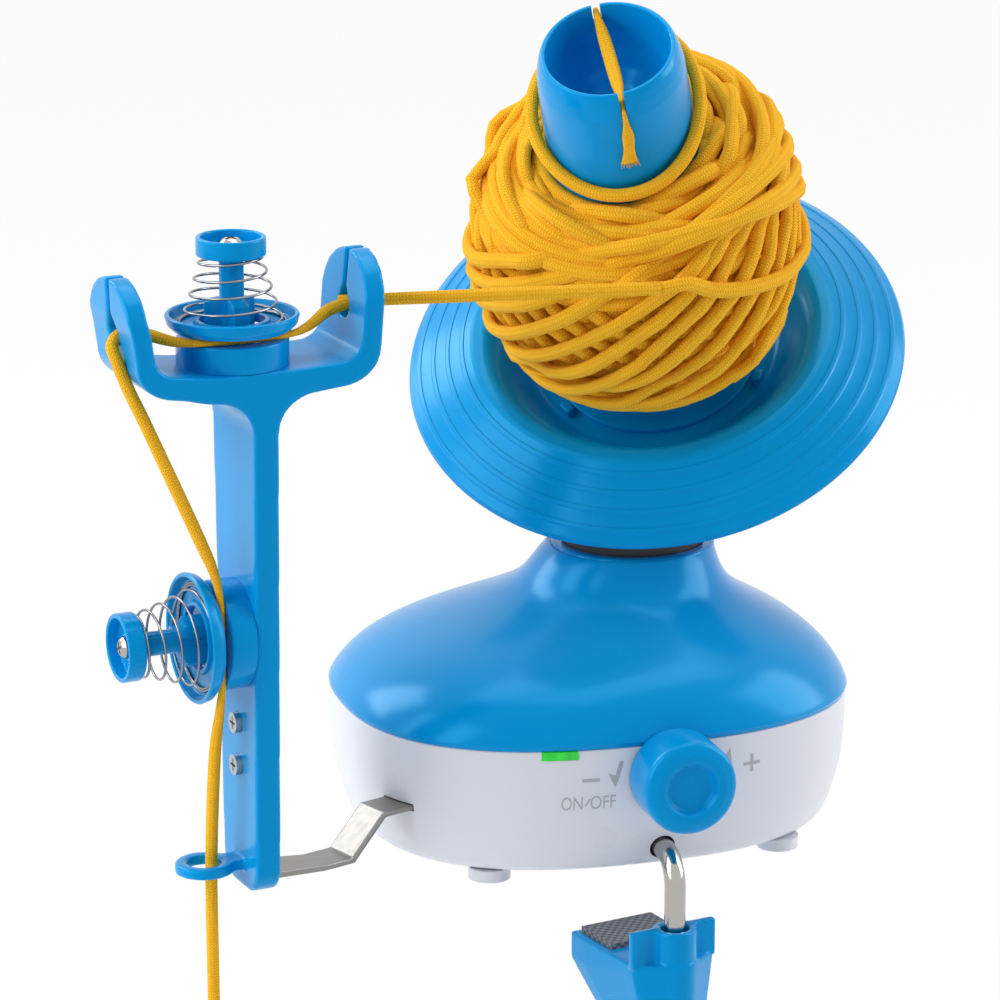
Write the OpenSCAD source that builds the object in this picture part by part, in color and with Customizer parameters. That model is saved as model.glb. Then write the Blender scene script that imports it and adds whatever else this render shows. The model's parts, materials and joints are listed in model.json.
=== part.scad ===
// Electric yarn ball winder: drive base, tilted winding head, yarn arm and table clamp.
// Millimetres. +Z up, front towards -Y, origin on the winding axis at table height.

/* [Base] */
// Width of the base at the seam
base_w = 172; // [140:1:200]
// Depth of the base at the seam
base_d = 144; // [110:1:170]
// Squareness of the base in plan, 2 is an ellipse
base_power = 2.5; // [2:0.1:4]
// Sideways offset of the base from the winding axis
base_shift = -16; // [-30:1:0]
// Height of the seam between the two shells
seam_z = 48.5; // [40:0.5:60]
// Height of the neck top
neck_z = 97.5; // [85:0.5:110]
// Radius of the neck top
neck_r = 27.6; // [24:0.2:34]
// How far the lower shell tucks in at the bottom
base_tuck = 8; // [2:0.5:14]
// Rounding of the bottom edge
edge_r = 4; // [2:0.5:6]
// Wall thickness of the shells
wall = 2.6; // [2:0.1:4]
// Height of the feet
foot_h = 4; // [2:0.5:8]
// Radius of a foot
foot_r = 7; // [5:0.5:10]

/* [Winding head] */
// Height where the tilted axis crosses the winding axis
cross_z = 205.4; // [190:0.1:220]
// Tilt of the bobbin axis from vertical
tilt = 35; // [20:0.5:45]
// Direction in plan that the bobbin leans to
lean = -120.5; // [-180:0.5:180]
// Distance along the tilted axis from the crossing down to the plate rim
plate_drop = 70.5; // [60:0.5:80]
// Radius of the winding plate
plate_r = 85; // [70:0.5:95]
// Height of the plate's crest over its rim
crest_h = 21; // [10:0.5:26]
// Radius of the plate's crest
crest_r = 60; // [50:0.5:70]
// Height of the plate's floor over its rim
floor_h = 4.5; // [2:0.5:10]
// Skin thickness of the plate
plate_t = 3; // [2:0.1:4]
// Height of the bobbin's rim over the plate rim
bobbin_top = 151; // [130:1:170]
// Radius of the bobbin's rim
bobbin_r = 22.2; // [18:0.2:28]
// Radius of the bobbin at its foot
bobbin_foot_r = 27; // [22:0.5:32]

/* [Drive] */
// Tooth module of the gear train
tooth = 1; // [0.8:0.1:1.5]
// Teeth of the motor pinion
pinion_teeth = 12; // [10:1:16]
// Teeth of the large idler wheel
idler_teeth = 40; // [30:1:50]
// Teeth of the small idler wheel
idler_pinion_teeth = 14; // [12:1:20]
// Teeth of the main gear
main_teeth = 60; // [50:1:70]
// Radius of the main shaft
shaft_r = 5; // [4:0.5:7]
// Radius of the motor can
motor_r = 17.5; // [14:0.5:20]
// Radius of the fixed traction ring at its rolling line
traction_r = 24; // [20:0.5:26]

/* [Yarn arm] */
// Arm centre, left of the winding axis
arm_x = -146; // [-170:1:-120]
// Arm centre, in front of the winding axis
arm_y = -50.6; // [-60:0.2:-20]
// Turn of the arm in plan
arm_turn = 8; // [0:1:30]
// Thickness of the arm's web
web_t = 8.3; // [6:0.1:12]
// Width of the arm
arm_w = 36; // [26:1:44]
// Height of the fork's tray
bar_z = 181; // [160:1:200]
// Thickness of the fork's tray
bar_t = 8.5; // [6:0.5:12]
// Height of the ear tops
ear_z = 216; // [200:1:230]
// Distance between the middles of the ears
ear_span = 80; // [60:1:100]
// Thickness of an ear
ear_t = 6.4; // [4:0.2:9]
// Sideways offset of the fork from the web
fork_shift = -4; // [-10:0.5:10]
// Height of the lower tensioner's axis
low_tension_z = 93; // [70:1:120]
// Height of the yarn ring's middle
ring_z = 16.3; // [8:0.1:30]

/* [Tensioner] */
// Radius of the seat
seat_r = 17.75; // [14:0.25:20]
// Height of the seat
seat_h = 8.5; // [5:0.5:12]
// Radius of the disc
disc_r = 21.1; // [18:0.1:24]
// Gap between seat and disc that grips the yarn
grip_gap = 2.4; // [1.5:0.1:5]
// Radius of the cap
cap_r = 11; // [8:0.5:14]
// Height of the cap's top over the mounting face
cap_top = 40.3; // [34:0.1:46]
// Height of the cap
cap_h = 6; // [5:0.5:12]
// Turns of the spring
spring_turns = 5; // [3:0.5:7]
// Wire radius of the spring
wire_r = 0.5; // [0.3:0.05:0.8]

/* [Table clamp] */
// Rod position, left of the winding axis
rod_x = -12; // [-30:1:10]
// Rod position, in front of the winding axis
rod_y = -80; // [-95:1:-70]
// Height of the rod where it enters the base
rod_z = 11.5; // [9:0.5:20]
// Radius of the rod
rod_r = 3.5; // [2.5:0.1:5]
// Radius of the rod's bend
rod_bend = 10; // [8:0.5:16]
// Height of the jaw's shelf
shelf_z = -23; // [-60:1:-15]
// Swivel of the jaw on the rod
jaw_turn = 12; // [-45:1:45]
// Travel of the jaw per turn of the nut
thread_pitch = 2; // [1:0.25:3]

/* [Yarn] */
// Diameter of the yarn
yarn_d = 4.5; // [2:0.1:6]
// Outer radius of the wound ball
ball_r = 59.5; // [40:0.5:62]
// Loops in each of the two layers
ball_loops = 12; // [6:1:12]
// Tilt of the loops against the bobbin
loop_tilt = 14; // [10:1:30]
// Latitude that a layer reaches
loop_reach = 40; // [25:1:45]

/* [Hidden] */
$fn = 64;

blue = "#1296DC";
white = "#E4E6EC";
steel = "#B8BCC2";
black = "#2A2C30";
brass = "#C9A24A";
green = "#1F6B3A";
gold = "#F2B41C";
rubber = "#6E7076";

// Points around one ring of a shell
ring_points = 56;
yarn_r = yarn_d / 2;
rod_fit = 0.05;
half_w = base_w / 2;
half_d = base_d / 2;

// Gear train in a row to the left of the main shaft
idler_x = -tooth * (main_teeth + idler_pinion_teeth) / 2;
motor_x = idler_x - tooth * (idler_teeth + pinion_teeth) / 2;
chassis_z = 50;
chassis_t = 3;
low_gear_z = chassis_z + chassis_t + 3;
high_gear_z = low_gear_z + 8;
gear_t = 7;

// Neck fittings
collar_z = 86;
collar_floor = 8;
collar_wall = 3;
bearing_r = 11;
bearing_t = 7;

// Knob and indicator on the front wall
knob_x = -10;
knob_z = 38.5;
knob_r = 15.7;
knob_depth = 18;
board_y = 16 - half_d;
board_t = 1.6;
led_x = -48;
led_z = 47;

// Strip that carries the arm
slot_at = [-94.4, -37.7];
strip_turn = 201;
strip_w = 13.3;
strip_t = 2;
strip_z = 25;
strip_low_z = 12.2;
tab_top = 73;
tab_w = 16;
arm_gap = 0.05;
screw_zs = [49, 63.1];
arm_foot_z = 8;

// Posts and bosses of the lower shell
boss_x = 54;
boss_y = 44;
boss_r = 4.5;
chassis_posts = [[-70, 27], [-52, -27], [20, 26], [20, -26]];
foot_x = 50.5;
foot_y = 47;
foot_shift = -14.5;

// Rolling contact of the plate on the traction ring
plate_slope = (crest_h - 8) / (81 - crest_r);
ring_section = 2;
track_drop = 90.8;
traction_z = cross_z - track_drop;
track_r = traction_r * cos(tilt) + track_drop * sin(tilt);
spin_ratio = -traction_r / track_r;
echo(spin_ratio = spin_ratio);

// A plan ring of a shell: superellipse with half sizes a and b
function plan_ring(a, b, power, cx, z) = [
    for (i = [0 : ring_points - 1])
        let (c = cos(360 * i / ring_points), s = sin(360 * i / ring_points))
            [cx + a * sign(c) * pow(abs(c), 2 / power), b * sign(s) * pow(abs(s), 2 / power), z]
];

// Rounding of the bottom edge at height z
function edge_inset(z) = let (h = min(z - foot_h, edge_r)) edge_r - sqrt(pow(edge_r, 2) - pow(edge_r - h, 2));

// How far the lower shell stands in from the seam at height z
function tuck_inset(z) = base_tuck * pow(1 - (z - foot_h) / (seam_z - foot_h), 2.9) + edge_inset(z);

function lower_ring(z, inset) =
    let (k = tuck_inset(min(z, seam_z)) + inset)
        plan_ring(half_w - k, half_d - k, base_power, base_shift, z);

// Share of the base width that is left at height z of the upper shell: 1 at the seam, 0 at the neck
function dome_share(z) =
    let (t = min(max((z - seam_z) / (neck_z - seam_z), 0), 1))
        0.5 * pow(1 - pow(t, 3.95), 8.7) + 0.5 * (1 - t);

function upper_ring(z, inset, drop) =
    let (g = dome_share(z + drop))
        plan_ring(
            neck_r + (half_w - neck_r) * g - inset, neck_r + (half_d - neck_r) * g - inset,
            2 + (base_power - 2) * g, base_shift * pow(g, 0.65), z
        );

function flat(lists) = [for (l = lists) each l];

// Solid through a stack of rings, lowest first
module loft(rings) {
    n = len(rings[0]);
    m = len(rings);
    polyhedron(
        points = flat(rings),
        faces = concat(
            [[for (i = [0 : n - 1]) i]],
            [[for (i = [n - 1 : -1 : 0]) (m - 1) * n + i]],
            [
                for (j = [0 : m - 2], i = [0 : n - 1], k = [0, 1])
                    let (a = j * n + i, b = j * n + (i + 1) % n)
                        k == 0 ? [a, a + n, b] : [b, a + n, b + n]
            ]
        ),
        convexity = 8
    );
}

function unit(v) = v / norm(v);

// Frames carried along a path without twist
function carry(path, i, side) =
    let (
        a = path[max(i - 1, 0)],
        b = path[min(i + 1, len(path) - 1)],
        t = unit(b - a),
        s = unit(side - t * (side * t))
    )
        i == len(path) - 1 ? [[s, cross(t, s)]] : concat([[s, cross(t, s)]], carry(path, i + 1, s));

// Tube along a path with a radius at each point
module tube(path, radii, sides, side = [0.31, 0.22, 0.93]) {
    frames = carry(path, 0, side);
    loft([
        for (i = [0 : len(path) - 1])
            [
                for (k = [0 : sides - 1])
                    let (a = 360 * k / sides)
                        path[i] + radii[i] * (cos(a) * frames[i][0] + sin(a) * frames[i][1])
            ]
    ]);
}

// Smooth points through a hand-made route
function bend_at(p, i, t) =
    let (
        a = p[max(i - 1, 0)], b = p[i], c = p[i + 1], d = p[min(i + 2, len(p) - 1)]
    )
        0.5 * (2 * b + (c - a) * t + (2 * a - 5 * b + 4 * c - d) * t * t + (3 * b - a - 3 * c + d) * t * t * t);

function smooth(p, steps) = concat(
    [for (i = [0 : len(p) - 2], k = [0 : steps - 1]) bend_at(p, i, k / steps)],
    [p[len(p) - 1]]
);

module ring_tube(outer, inner, h) {
    difference() {
        cylinder(r = outer, h = h);
        translate([0, 0, -1]) cylinder(r = inner, h = h + 2);
    }
}

// Pan-head screw pointing down -Z with its head on z = 0
module screw(head_r, head_h, shank_r, shank) {
    difference() {
        union() {
            cylinder(r = head_r, h = head_h);
            translate([0, 0, -shank]) cylinder(r = shank_r, h = shank + 0.5);
        }
        for (a = [0, 90])
            rotate([0, 0, a])
                translate([-head_r * 0.6, -head_r * 0.11, head_h * 0.45])
                    cube([head_r * 1.2, head_r * 0.22, head_h]);
    }
}

// Flank of an involute tooth: points from the root to the tip on one side
function flank(teeth, add, ded, thin) =
    let (
        rp = tooth * teeth / 2,
        rb = rp * cos(20),
        half = 90 / teeth - thin / rp * 180 / PI,
        inv = tan(20) * 180 / PI - 20
    )
        [
            for (k = [0 : 6])
                let (
                    r = rp - ded + k / 6 * (ded + add),
                    al = r > rb ? acos(rb / r) : 0,
                    a = half + inv - (tan(al) * 180 / PI - al)
                )
                    [r, a]
        ];

// Spur gear outline with a tooth on the +X side
module gear_outline(teeth) {
    f = flank(teeth, 0.85 * tooth, 1.2 * tooth, 0.1 * tooth);
    n = len(f);
    polygon([
        for (t = [0 : teeth - 1], s = [-1, 1], k = [0 : n - 1])
            let (q = s < 0 ? f[k] : f[n - 1 - k], a = 360 * t / teeth + s * q[1])
                q[0] * [cos(a), sin(a)]
    ]);
}

module gear(teeth, h) {
    linear_extrude(h) gear_outline(teeth);
}

// Frame of the tilted axis: origin in the plate's rim plane, +Z along the bobbin
module on_tilt() {
    translate([0, 0, cross_z])
        rotate([0, 0, lean])
            rotate([0, tilt, 0])
                translate([0, 0, -plate_drop])
                    children();
}

// Frame of the yarn arm: x across the fork, z up
module on_arm() {
    translate([arm_x, arm_y, 0]) rotate([0, 0, arm_turn]) children();
}

// Frame of the strip: x runs out of the slot, away from the base
module on_strip() {
    translate([slot_at[0], slot_at[1], 0]) rotate([0, 0, strip_turn]) children();
}

// Frames of the two tensioners: z runs from the mounting face to the cap
module on_upper() {
    on_arm() translate([fork_shift, 0, bar_z]) children();
}

module on_lower() {
    on_arm() translate([-web_t / 2, 0, low_tension_z]) rotate([0, -90, 0]) children();
}

module on_jaw() {
    translate([rod_x, rod_y, 0]) rotate([0, 0, jaw_turn]) children();
}

module on_knob() {
    translate([knob_x, 0, knob_z]) rotate([90, 0, 0]) children();
}

module at_bosses() {
    for (x = [-boss_x, boss_x], y = [-boss_y, boss_y]) translate([base_shift + x, y, 0]) children();
}

module at_feet() {
    for (x = [-foot_x, foot_x], y = [-foot_y, foot_y]) translate([foot_shift + x, y, 0]) children();
}

low_levels = concat(
    [for (a = [0 : 30 : 90]) foot_h + edge_r * (1 - cos(a))],
    [for (k = [1 : 5]) foot_h + edge_r + k / 5 * (seam_z - foot_h - edge_r)]
);
dome_levels = [for (k = [0 : 16]) seam_z + k / 16 * (neck_z - seam_z)];

module lower_solid(inset, floor_z, top_z) {
    loft(concat(
        [lower_ring(floor_z, inset)],
        [for (z = low_levels) if (z > floor_z + 0.4 && z < top_z - 0.4) lower_ring(z, inset)],
        [lower_ring(top_z, inset)]
    ));
}

module upper_solid(inset, drop, from_z, to_z) {
    loft(concat(
        [upper_ring(from_z, inset, drop)],
        [for (z = dome_levels) if (z > from_z + 0.4 && z < to_z - 0.4) upper_ring(z, inset, drop)],
        [upper_ring(to_z, inset, drop)]
    ));
}

module rod_way(r) {
    translate([rod_x, -20, rod_z]) rotate([90, 0, 0]) cylinder(r = r, h = 80);
}

// White shell: floor, walls, posts, rod socket and strip socket
module lower_housing() {
    color(white)
        difference() {
            union() {
                difference() {
                    lower_solid(0, foot_h, seam_z);
                    lower_solid(wall, foot_h + wall, seam_z + 1);
                }
                intersection() {
                    lower_solid(0.5, foot_h, seam_z);
                    union() {
                        at_bosses() translate([0, 0, foot_h]) cylinder(r = boss_r, h = seam_z - foot_h - 0.2);
                        translate([rod_x - 6, -80, foot_h]) cube([12, 58, rod_z + 5.5 - foot_h]);
                        on_strip()
                            translate([-22, -strip_w / 2 - 2.6, strip_z - 4])
                                cube([40, strip_w + 5.2, 8]);
                    }
                }
                for (p = chassis_posts) translate([p[0], p[1], foot_h + 1]) cylinder(r = 4, h = chassis_z - foot_h - 1);
                for (x = [-59, 25])
                    translate([x - 3, board_y - 4, foot_h + 1]) cube([6, 10, 40]);
            }
            at_bosses() {
                translate([0, 0, foot_h - 1]) cylinder(r = 3.4, h = 9);
                translate([0, 0, foot_h - 1]) cylinder(r = 1.9, h = 60);
            }
            at_feet() translate([0, 0, foot_h - 1]) cylinder(r = 2.55, h = 8);
            for (p = chassis_posts) translate([p[0], p[1], chassis_z - 14]) cylinder(r = 1.3, h = 20);
            rod_way(rod_r + rod_fit);
            on_strip()
                translate([-20, -strip_w / 2 - 0.15, strip_z - strip_t / 2 - 0.15])
                    cube([60, strip_w + 0.3, strip_t + 0.3]);
            translate([-59.2, board_y - 0.1, 15.9]) cube([84.4, board_t + 0.2, 60]);
            on_knob() translate([0, 0, half_d - 12]) cylinder(r = 4.6, h = 20);
            translate([led_x - 5.9, -half_d - 8, led_z - 1.55]) cube([11.8, 20, 10]);
            translate([20, jack_y + 2.5, 16]) rotate([-90, 0, 0]) cylinder(r = 5.1, h = 30);
        }
}

// Blue dome with the neck
module upper_housing() {
    color(blue)
        difference() {
            union() {
                difference() {
                    upper_solid(0, 0, seam_z + 0.15, neck_z);
                    upper_solid(1.5, 2.2, seam_z - 1, neck_z - 4);
                }
                intersection() {
                    upper_solid(0.6, 0, seam_z + 0.15, neck_z - 1);
                    union() {
                        at_bosses() translate([0, 0, seam_z]) cylinder(r = boss_r, h = 40);
                        translate([0, 0, collar_z - 5]) cylinder(r = 60, h = 5);
                    }
                }
            }
            at_bosses() translate([0, 0, seam_z - 1]) cylinder(r = 1.4, h = 14);
            translate([0, 0, collar_z]) cylinder(r = traction_r + 0.3, h = 30);
            translate([0, 0, collar_z - 10]) cylinder(r = shaft_r + 5, h = 20);
            for (a = [0, 120, 240])
                rotate([0, 0, a]) translate([16, 0, collar_z - 10]) cylinder(r = 1.2, h = 20);
        }
}

module feet() {
    color(white)
        at_feet() {
            difference() {
                cylinder(r = foot_r, h = foot_h - 0.05);
                translate([0, 0, -0.5]) cylinder(r = foot_r - 3, h = 1.3);
            }
            translate([0, 0, 0.9]) cylinder(r = 2.5, h = foot_h + 3.4);
        }
}

module housing_screws() {
    color(steel)
        at_bosses() translate([0, 0, foot_h + 8]) rotate([180, 0, 0]) screw(3.1, 2.2, 1.38, seam_z - foot_h + 2);
}

// Gear plate under the train, with the lower bearing's seat
module chassis_plate() {
    color(steel)
        difference() {
            union() {
                translate([-84, -32, chassis_z + 0.05]) cube([112, 64, chassis_t - 0.05]);
                translate([0, 0, chassis_z - 8]) cylinder(r = bearing_r + 3, h = 8.5);
                translate([idler_x, 0, chassis_z - 4]) cylinder(r = 6, h = 4.5);
            }
            translate([0, 0, chassis_z - bearing_t + 1]) cylinder(r = bearing_r + 0.02, h = 20);
            translate([0, 0, chassis_z - 10]) cylinder(r = bearing_r - 2, h = 20);
            translate([idler_x, 0, chassis_z - 2]) cylinder(r = 3.02, h = 20);
            translate([motor_x, 0, chassis_z - 1]) cylinder(r = 6.1, h = 20);
            for (a = [0, 180]) rotate_about(motor_x, a) cylinder(r = 1.7, h = 90);
            for (p = chassis_posts) translate([p[0], p[1], chassis_z - 1]) cylinder(r = 1.8, h = 20);
        }
}

// Screw places on both sides of the motor axis
module rotate_about(x, a) {
    translate([x, 0, 0]) rotate([0, 0, a + 90]) translate([12.5, 0, 0]) children();
}

module chassis_screws() {
    color(steel)
        for (p = chassis_posts)
            translate([p[0], p[1], chassis_z + chassis_t]) screw(3.2, 2, 1.28, 14);
}

module motor() {
    color(steel)
        difference() {
            union() {
                translate([motor_x, 0, 9]) cylinder(r = motor_r, h = chassis_z - 9);
                translate([motor_x, 0, chassis_z - 1]) cylinder(r = 6, h = chassis_t + 1);
                translate([motor_x, 0, 8]) cylinder(r = 5, h = 4);
            }
            translate([motor_x, 0, 7]) cylinder(r = 1.64, h = 60);
            for (a = [0, 180]) rotate_about(motor_x, a) translate([0, 0, chassis_z - 7]) cylinder(r = 1.32, h = 20);
        }
}

module motor_screws() {
    color(steel)
        for (a = [0, 180]) rotate_about(motor_x, a) translate([0, 0, chassis_z + chassis_t]) screw(2.6, 1.6, 1.3, 9);
}

module motor_shaft() {
    color(steel) translate([motor_x, 0, 9.5]) cylinder(r = 1.6, h = low_gear_z + 7.5 - 9.5);
}

module motor_pinion() {
    color(brass)
        translate([motor_x, 0, low_gear_z - 0.5])
            difference() {
                rotate([0, 0, 180 / pinion_teeth]) gear(pinion_teeth, gear_t);
                translate([0, 0, -1]) cylinder(r = 1.62, h = 20);
            }
}

module idler_axle() {
    color(steel) translate([idler_x, 0, chassis_z - 2]) cylinder(r = 3, h = high_gear_z + gear_t + 4 - chassis_z);
}

module idler_gear() {
    color(white)
        translate([idler_x, 0, 0])
            difference() {
                union() {
                    translate([0, 0, low_gear_z]) gear(idler_teeth, 6);
                    translate([0, 0, low_gear_z + 5.5])
                        rotate([0, 0, 180 / idler_pinion_teeth]) gear(idler_pinion_teeth, gear_t + 2.5);
                }
                translate([0, 0, low_gear_z - 1]) cylinder(r = 3.06, h = 40);
            }
}

module main_gear() {
    color(white)
        difference() {
            union() {
                translate([0, 0, high_gear_z]) gear(main_teeth, gear_t);
                translate([0, 0, high_gear_z - 5]) cylinder(r = 9, h = gear_t + 8);
            }
            translate([0, 0, high_gear_z - 9]) cylinder(r = shaft_r + 0.02, h = 40);
        }
}

module main_shaft() {
    color(steel)
        difference() {
            translate([0, 0, chassis_z - 9]) cylinder(r = shaft_r, h = 66);
            for (z = [chassis_z - 7.6, collar_z + collar_floor + 1.6])
                translate([0, 0, z]) ring_tube(shaft_r + 1, shaft_r - 0.8, 1.2);
        }
}

// Snap rings under the lower bearing and over the upper one
module shaft_clips() {
    color(black)
        for (z = [chassis_z - 7.5, collar_z + collar_floor + 1.7])
            translate([0, 0, z]) ring_tube(shaft_r + 2.2, shaft_r - 0.75, 1);
}

module bearing(z) {
    color(steel)
        translate([0, 0, z])
            difference() {
                ring_tube(bearing_r, shaft_r + rod_fit, bearing_t);
                for (h = [-0.1, bearing_t - 0.7]) translate([0, 0, h]) ring_tube(bearing_r - 1.8, shaft_r + 1.8, 0.8);
            }
}

module lower_bearing() {
    bearing(chassis_z - bearing_t + 1.05);
}

module upper_bearing() {
    bearing(collar_z + collar_floor - bearing_t);
}

// Fixed cup in the neck: bearing seat below, traction ring on its lip
module drive_collar() {
    color(black)
        difference() {
            union() {
                translate([0, 0, collar_z + 0.05]) cylinder(r = traction_r, h = collar_floor);
                translate([0, 0, collar_z + 4]) cylinder(r = traction_r, h = traction_z - collar_z - 4 - ring_section);
            }
            translate([0, 0, collar_z + collar_floor]) cylinder(r = traction_r - collar_wall, h = 60);
            translate([0, 0, collar_z + collar_floor - bearing_t - 0.02]) cylinder(r = bearing_r + 0.02, h = 30);
            translate([0, 0, collar_z - 5]) cylinder(r = bearing_r - 2, h = 30);
            for (a = [0, 120, 240])
                rotate([0, 0, a]) translate([16, 0, collar_z - 5]) cylinder(r = 1.7, h = 40);
        }
}

module collar_screws() {
    color(steel)
        for (a = [0, 120, 240])
            rotate([0, 0, a]) translate([16, 0, collar_z + collar_floor + 0.05]) screw(2.8, 1.8, 1.15, 12.6);
}

module traction_ring() {
    color(rubber)
        translate([0, 0, traction_z - ring_section + 0.05])
            difference() {
                union() {
                    rotate_extrude() translate([traction_r - ring_section, ring_section]) circle(r = ring_section, $fn = 32);
                    ring_tube(traction_r - 0.2, traction_r - collar_wall, ring_section);
                }
                translate([0, 0, -1]) cylinder(r = traction_r - collar_wall, h = 10);
            }
}

// Link from the main shaft to the tilted spindle, parallel to the plate
crank_h = -9.5;
crank_t = 8.5;
crank_reach = plate_drop * tan(tilt) + (-crank_h - crank_t / 2) * tan(tilt);
module crank_head() {
    color(blue)
        difference() {
            union() {
                on_tilt()
                    translate([0, 0, crank_h])
                        linear_extrude(crank_t) {
                            circle(r = 13);
                            translate([crank_reach, 0]) circle(r = 13);
                            translate([0, -10]) square([crank_reach, 20]);
                        }
                translate([0, 0, collar_z + collar_floor + 4]) cylinder(r = 9, h = 13.5);
            }
            translate([0, 0, 60]) cylinder(r = shaft_r + 0.02, h = 47.1);
            on_tilt() translate([0, 0, crank_h - 1]) cylinder(r = 4.02, h = 40);
        }
}

module spindle_pin() {
    color(steel)
        on_tilt()
            difference() {
                translate([0, 0, crank_h]) cylinder(r = 4, h = 49.5);
                translate([0, 0, 36]) ring_tube(6, 3.2, 1.2);
            }
}

module spindle_clip() {
    color(black) on_tilt() translate([0, 0, 36.1]) ring_tube(6.2, 3.25, 1);
}

// Ribs on the plate's slope
rib_gap = (plate_r - crest_r - 9) / 3;
rib_rs = [for (k = [0 : 3]) crest_r + 5 + k * rib_gap];
function slope_h(r) = crest_h - (r - crest_r - 1) * plate_slope;

// Soft dish between the floor and the crest, from t = 0 to 1
dish_r = 38;
dish_from = crest_r - 1.6;
dish_steps = 8;
function dish(t, out, drop) =
    [dish_r + (dish_from - dish_r) * t + out, floor_h + (crest_h - floor_h) * (1 - cos(180 * t)) / 2 - drop];

// Winding plate: thin rim, ribbed slope, soft crest and dished floor, with a hub and three lugs
module winding_plate() {
    rim_h = slope_h(plate_r);
    color(blue)
        on_tilt()
            difference() {
                union() {
                    rotate_extrude($fn = 96) {
                        polygon(concat(
                            [[11, floor_h - plate_t]],
                            [for (k = [0 : dish_steps - 1]) dish(k / dish_steps, 1.2, plate_t)],
                            [
                                [crest_r - 1, crest_h - plate_t - 0.6],
                                [plate_r - 4, slope_h(plate_r - 4) - plate_t - 0.2],
                                [plate_r - 1.4, rim_h - 2.6], [plate_r - 0.3, rim_h - 2.4], [plate_r, rim_h - 1.5],
                                [plate_r - 0.6, rim_h - 0.1], [plate_r - 4, slope_h(plate_r - 4)],
                                [crest_r + 2, crest_h - 0.5], [crest_r, crest_h]
                            ],
                            [for (k = [dish_steps : -1 : 0]) dish(k / dish_steps, 0, 0)],
                            [[11, floor_h]]
                        ));
                        for (r = rib_rs) translate([r, slope_h(r) - 0.35]) circle(r = 0.8, $fn = 12);
                    }
                    translate([0, 0, floor_h - plate_t]) cylinder(r = 13, h = 24);
                    for (a = [77, 197, 317])
                        rotate([0, 0, a]) translate([dish_r - 1.8, -2.5, floor_h - 0.5]) cube([3, 5, 3.7]);
                }
                translate([0, 0, -5]) cylinder(r = 7.02, h = 60);
            }
}

module plate_bush() {
    color(brass) on_tilt() translate([0, 0, floor_h - plate_t]) ring_tube(7, 4 + rod_fit, 34);
}

// Hollow cone that the yarn is wound on: foot flange, rounded shoulder, bowl in its mouth and two slots in its rim
shoulder_r = bobbin_r + 1.8;
shoulder_drop = 13;
bowl_depth = 28.5;
module bobbin() {
    foot_z = floor_h + 0.05;
    top = bobbin_top;
    color(blue)
        on_tilt()
            difference() {
                rotate_extrude()
                    polygon([
                        [bobbin_foot_r - 2.4, foot_z], [35, foot_z], [35, foot_z + 2], [bobbin_foot_r + 1.2, foot_z + 2],
                        [bobbin_foot_r, foot_z + 4], [shoulder_r, top - shoulder_drop], [shoulder_r - 0.5, top - 7],
                        [bobbin_r + 0.2, top - 2.5], [bobbin_r - 0.4, top - 0.6], [bobbin_r - 1.2, top],
                        [bobbin_r - 2.2, top - 0.4], [bobbin_r - 2.8, top - 6], [bobbin_r - 4, top - 13],
                        [bobbin_r - 7.2, top - 21], [bobbin_r - 12.7, top - bowl_depth + 2], [0, top - bowl_depth],
                        [0, top - bowl_depth - 3], [bobbin_r - 11.4, top - bowl_depth - 0.9],
                        [bobbin_r - 5.4, top - bowl_depth + 4.9], [bobbin_r - 1, top - 18]
                    ]);
                for (a = [0, 180])
                    rotate([0, 0, a + rim_slot_turn]) translate([bobbin_r - 8, -1.6, top - 10]) cube([16, 3.2, 20]);
            }
}

ball_h = plate_drop;
rim_slot_turn = 21;
// Radius of the bobbin's outside at height h over the rim plane
function bobbin_at(h) =
    bobbin_foot_r + (shoulder_r - bobbin_foot_r) * (h - floor_h - 4) / (bobbin_top - shoulder_drop - 4 - floor_h);

core_r = ball_r - 2 * yarn_d - 1.4;
module yarn_core() {
    low = floor_h + 6.5;
    high = ball_h + ball_r - 8;
    color(gold)
        on_tilt()
            rotate_extrude()
                difference() {
                    intersection() {
                        translate([0, ball_h]) circle(r = core_r, $fn = 72);
                        translate([0, low]) square([core_r + 1, high - low]);
                    }
                    polygon([
                        [-1, 0], [bobbin_at(0) + 0.3, 0],
                        [bobbin_at(high + 1) + 0.3, high + 1], [-1, high + 1]
                    ]);
                }
}

// Winding: layer one climbs, layer two comes back down over it with the opposite tilt
loop_rings = 24;
low_layer_r = ball_r - 1.5 * yarn_d - 1;
high_layer_r = ball_r - 0.5 * yarn_d;
turn_loops = 0.5;
loop_over = 6;
function ease(t) = let (k = min(max(t, 0), 1)) k * k * (3 - 2 * k);
function wind_point(s) =
    let (
        up = ball_loops,
        t = s - up,
        mix = ease((s - up) / turn_loops),
        base = s < up ? -loop_reach + 2 * loop_reach * s / up
            : s < up + turn_loops ? loop_reach + loop_over * sin(180 * t / turn_loops)
            : loop_reach - 2 * loop_reach * (t - turn_loops) / up,
        lat = base + loop_tilt * (1 - 2 * mix) * cos(360 * s),
        r = low_layer_r + (high_layer_r - low_layer_r) * mix
    )
        r * [cos(lat) * cos(360 * s), cos(lat) * sin(360 * s), sin(lat)];
wind_loops = 2 * ball_loops + turn_loops - 1;
wind_path = [for (k = [0 : wind_loops * loop_rings]) wind_point(k / loop_rings)];

// Least gap between turns of a path, over points at least a few rings apart
function least_gap(path, d, apart) =
    min([
        for (i = [0 : len(path) - 1], j = [i + apart : 1 : len(path) - 1])
            norm(path[i] - path[j])
    ]) - d;

module yarn_winding() {
    echo(winding_gap = least_gap(wind_path, yarn_d, 9), winding_loops = wind_loops);
    color(gold) on_tilt() translate([0, 0, ball_h]) tube(wind_path, [for (p = wind_path) yarn_r], 6, [0, 0, 1]);
}

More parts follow.
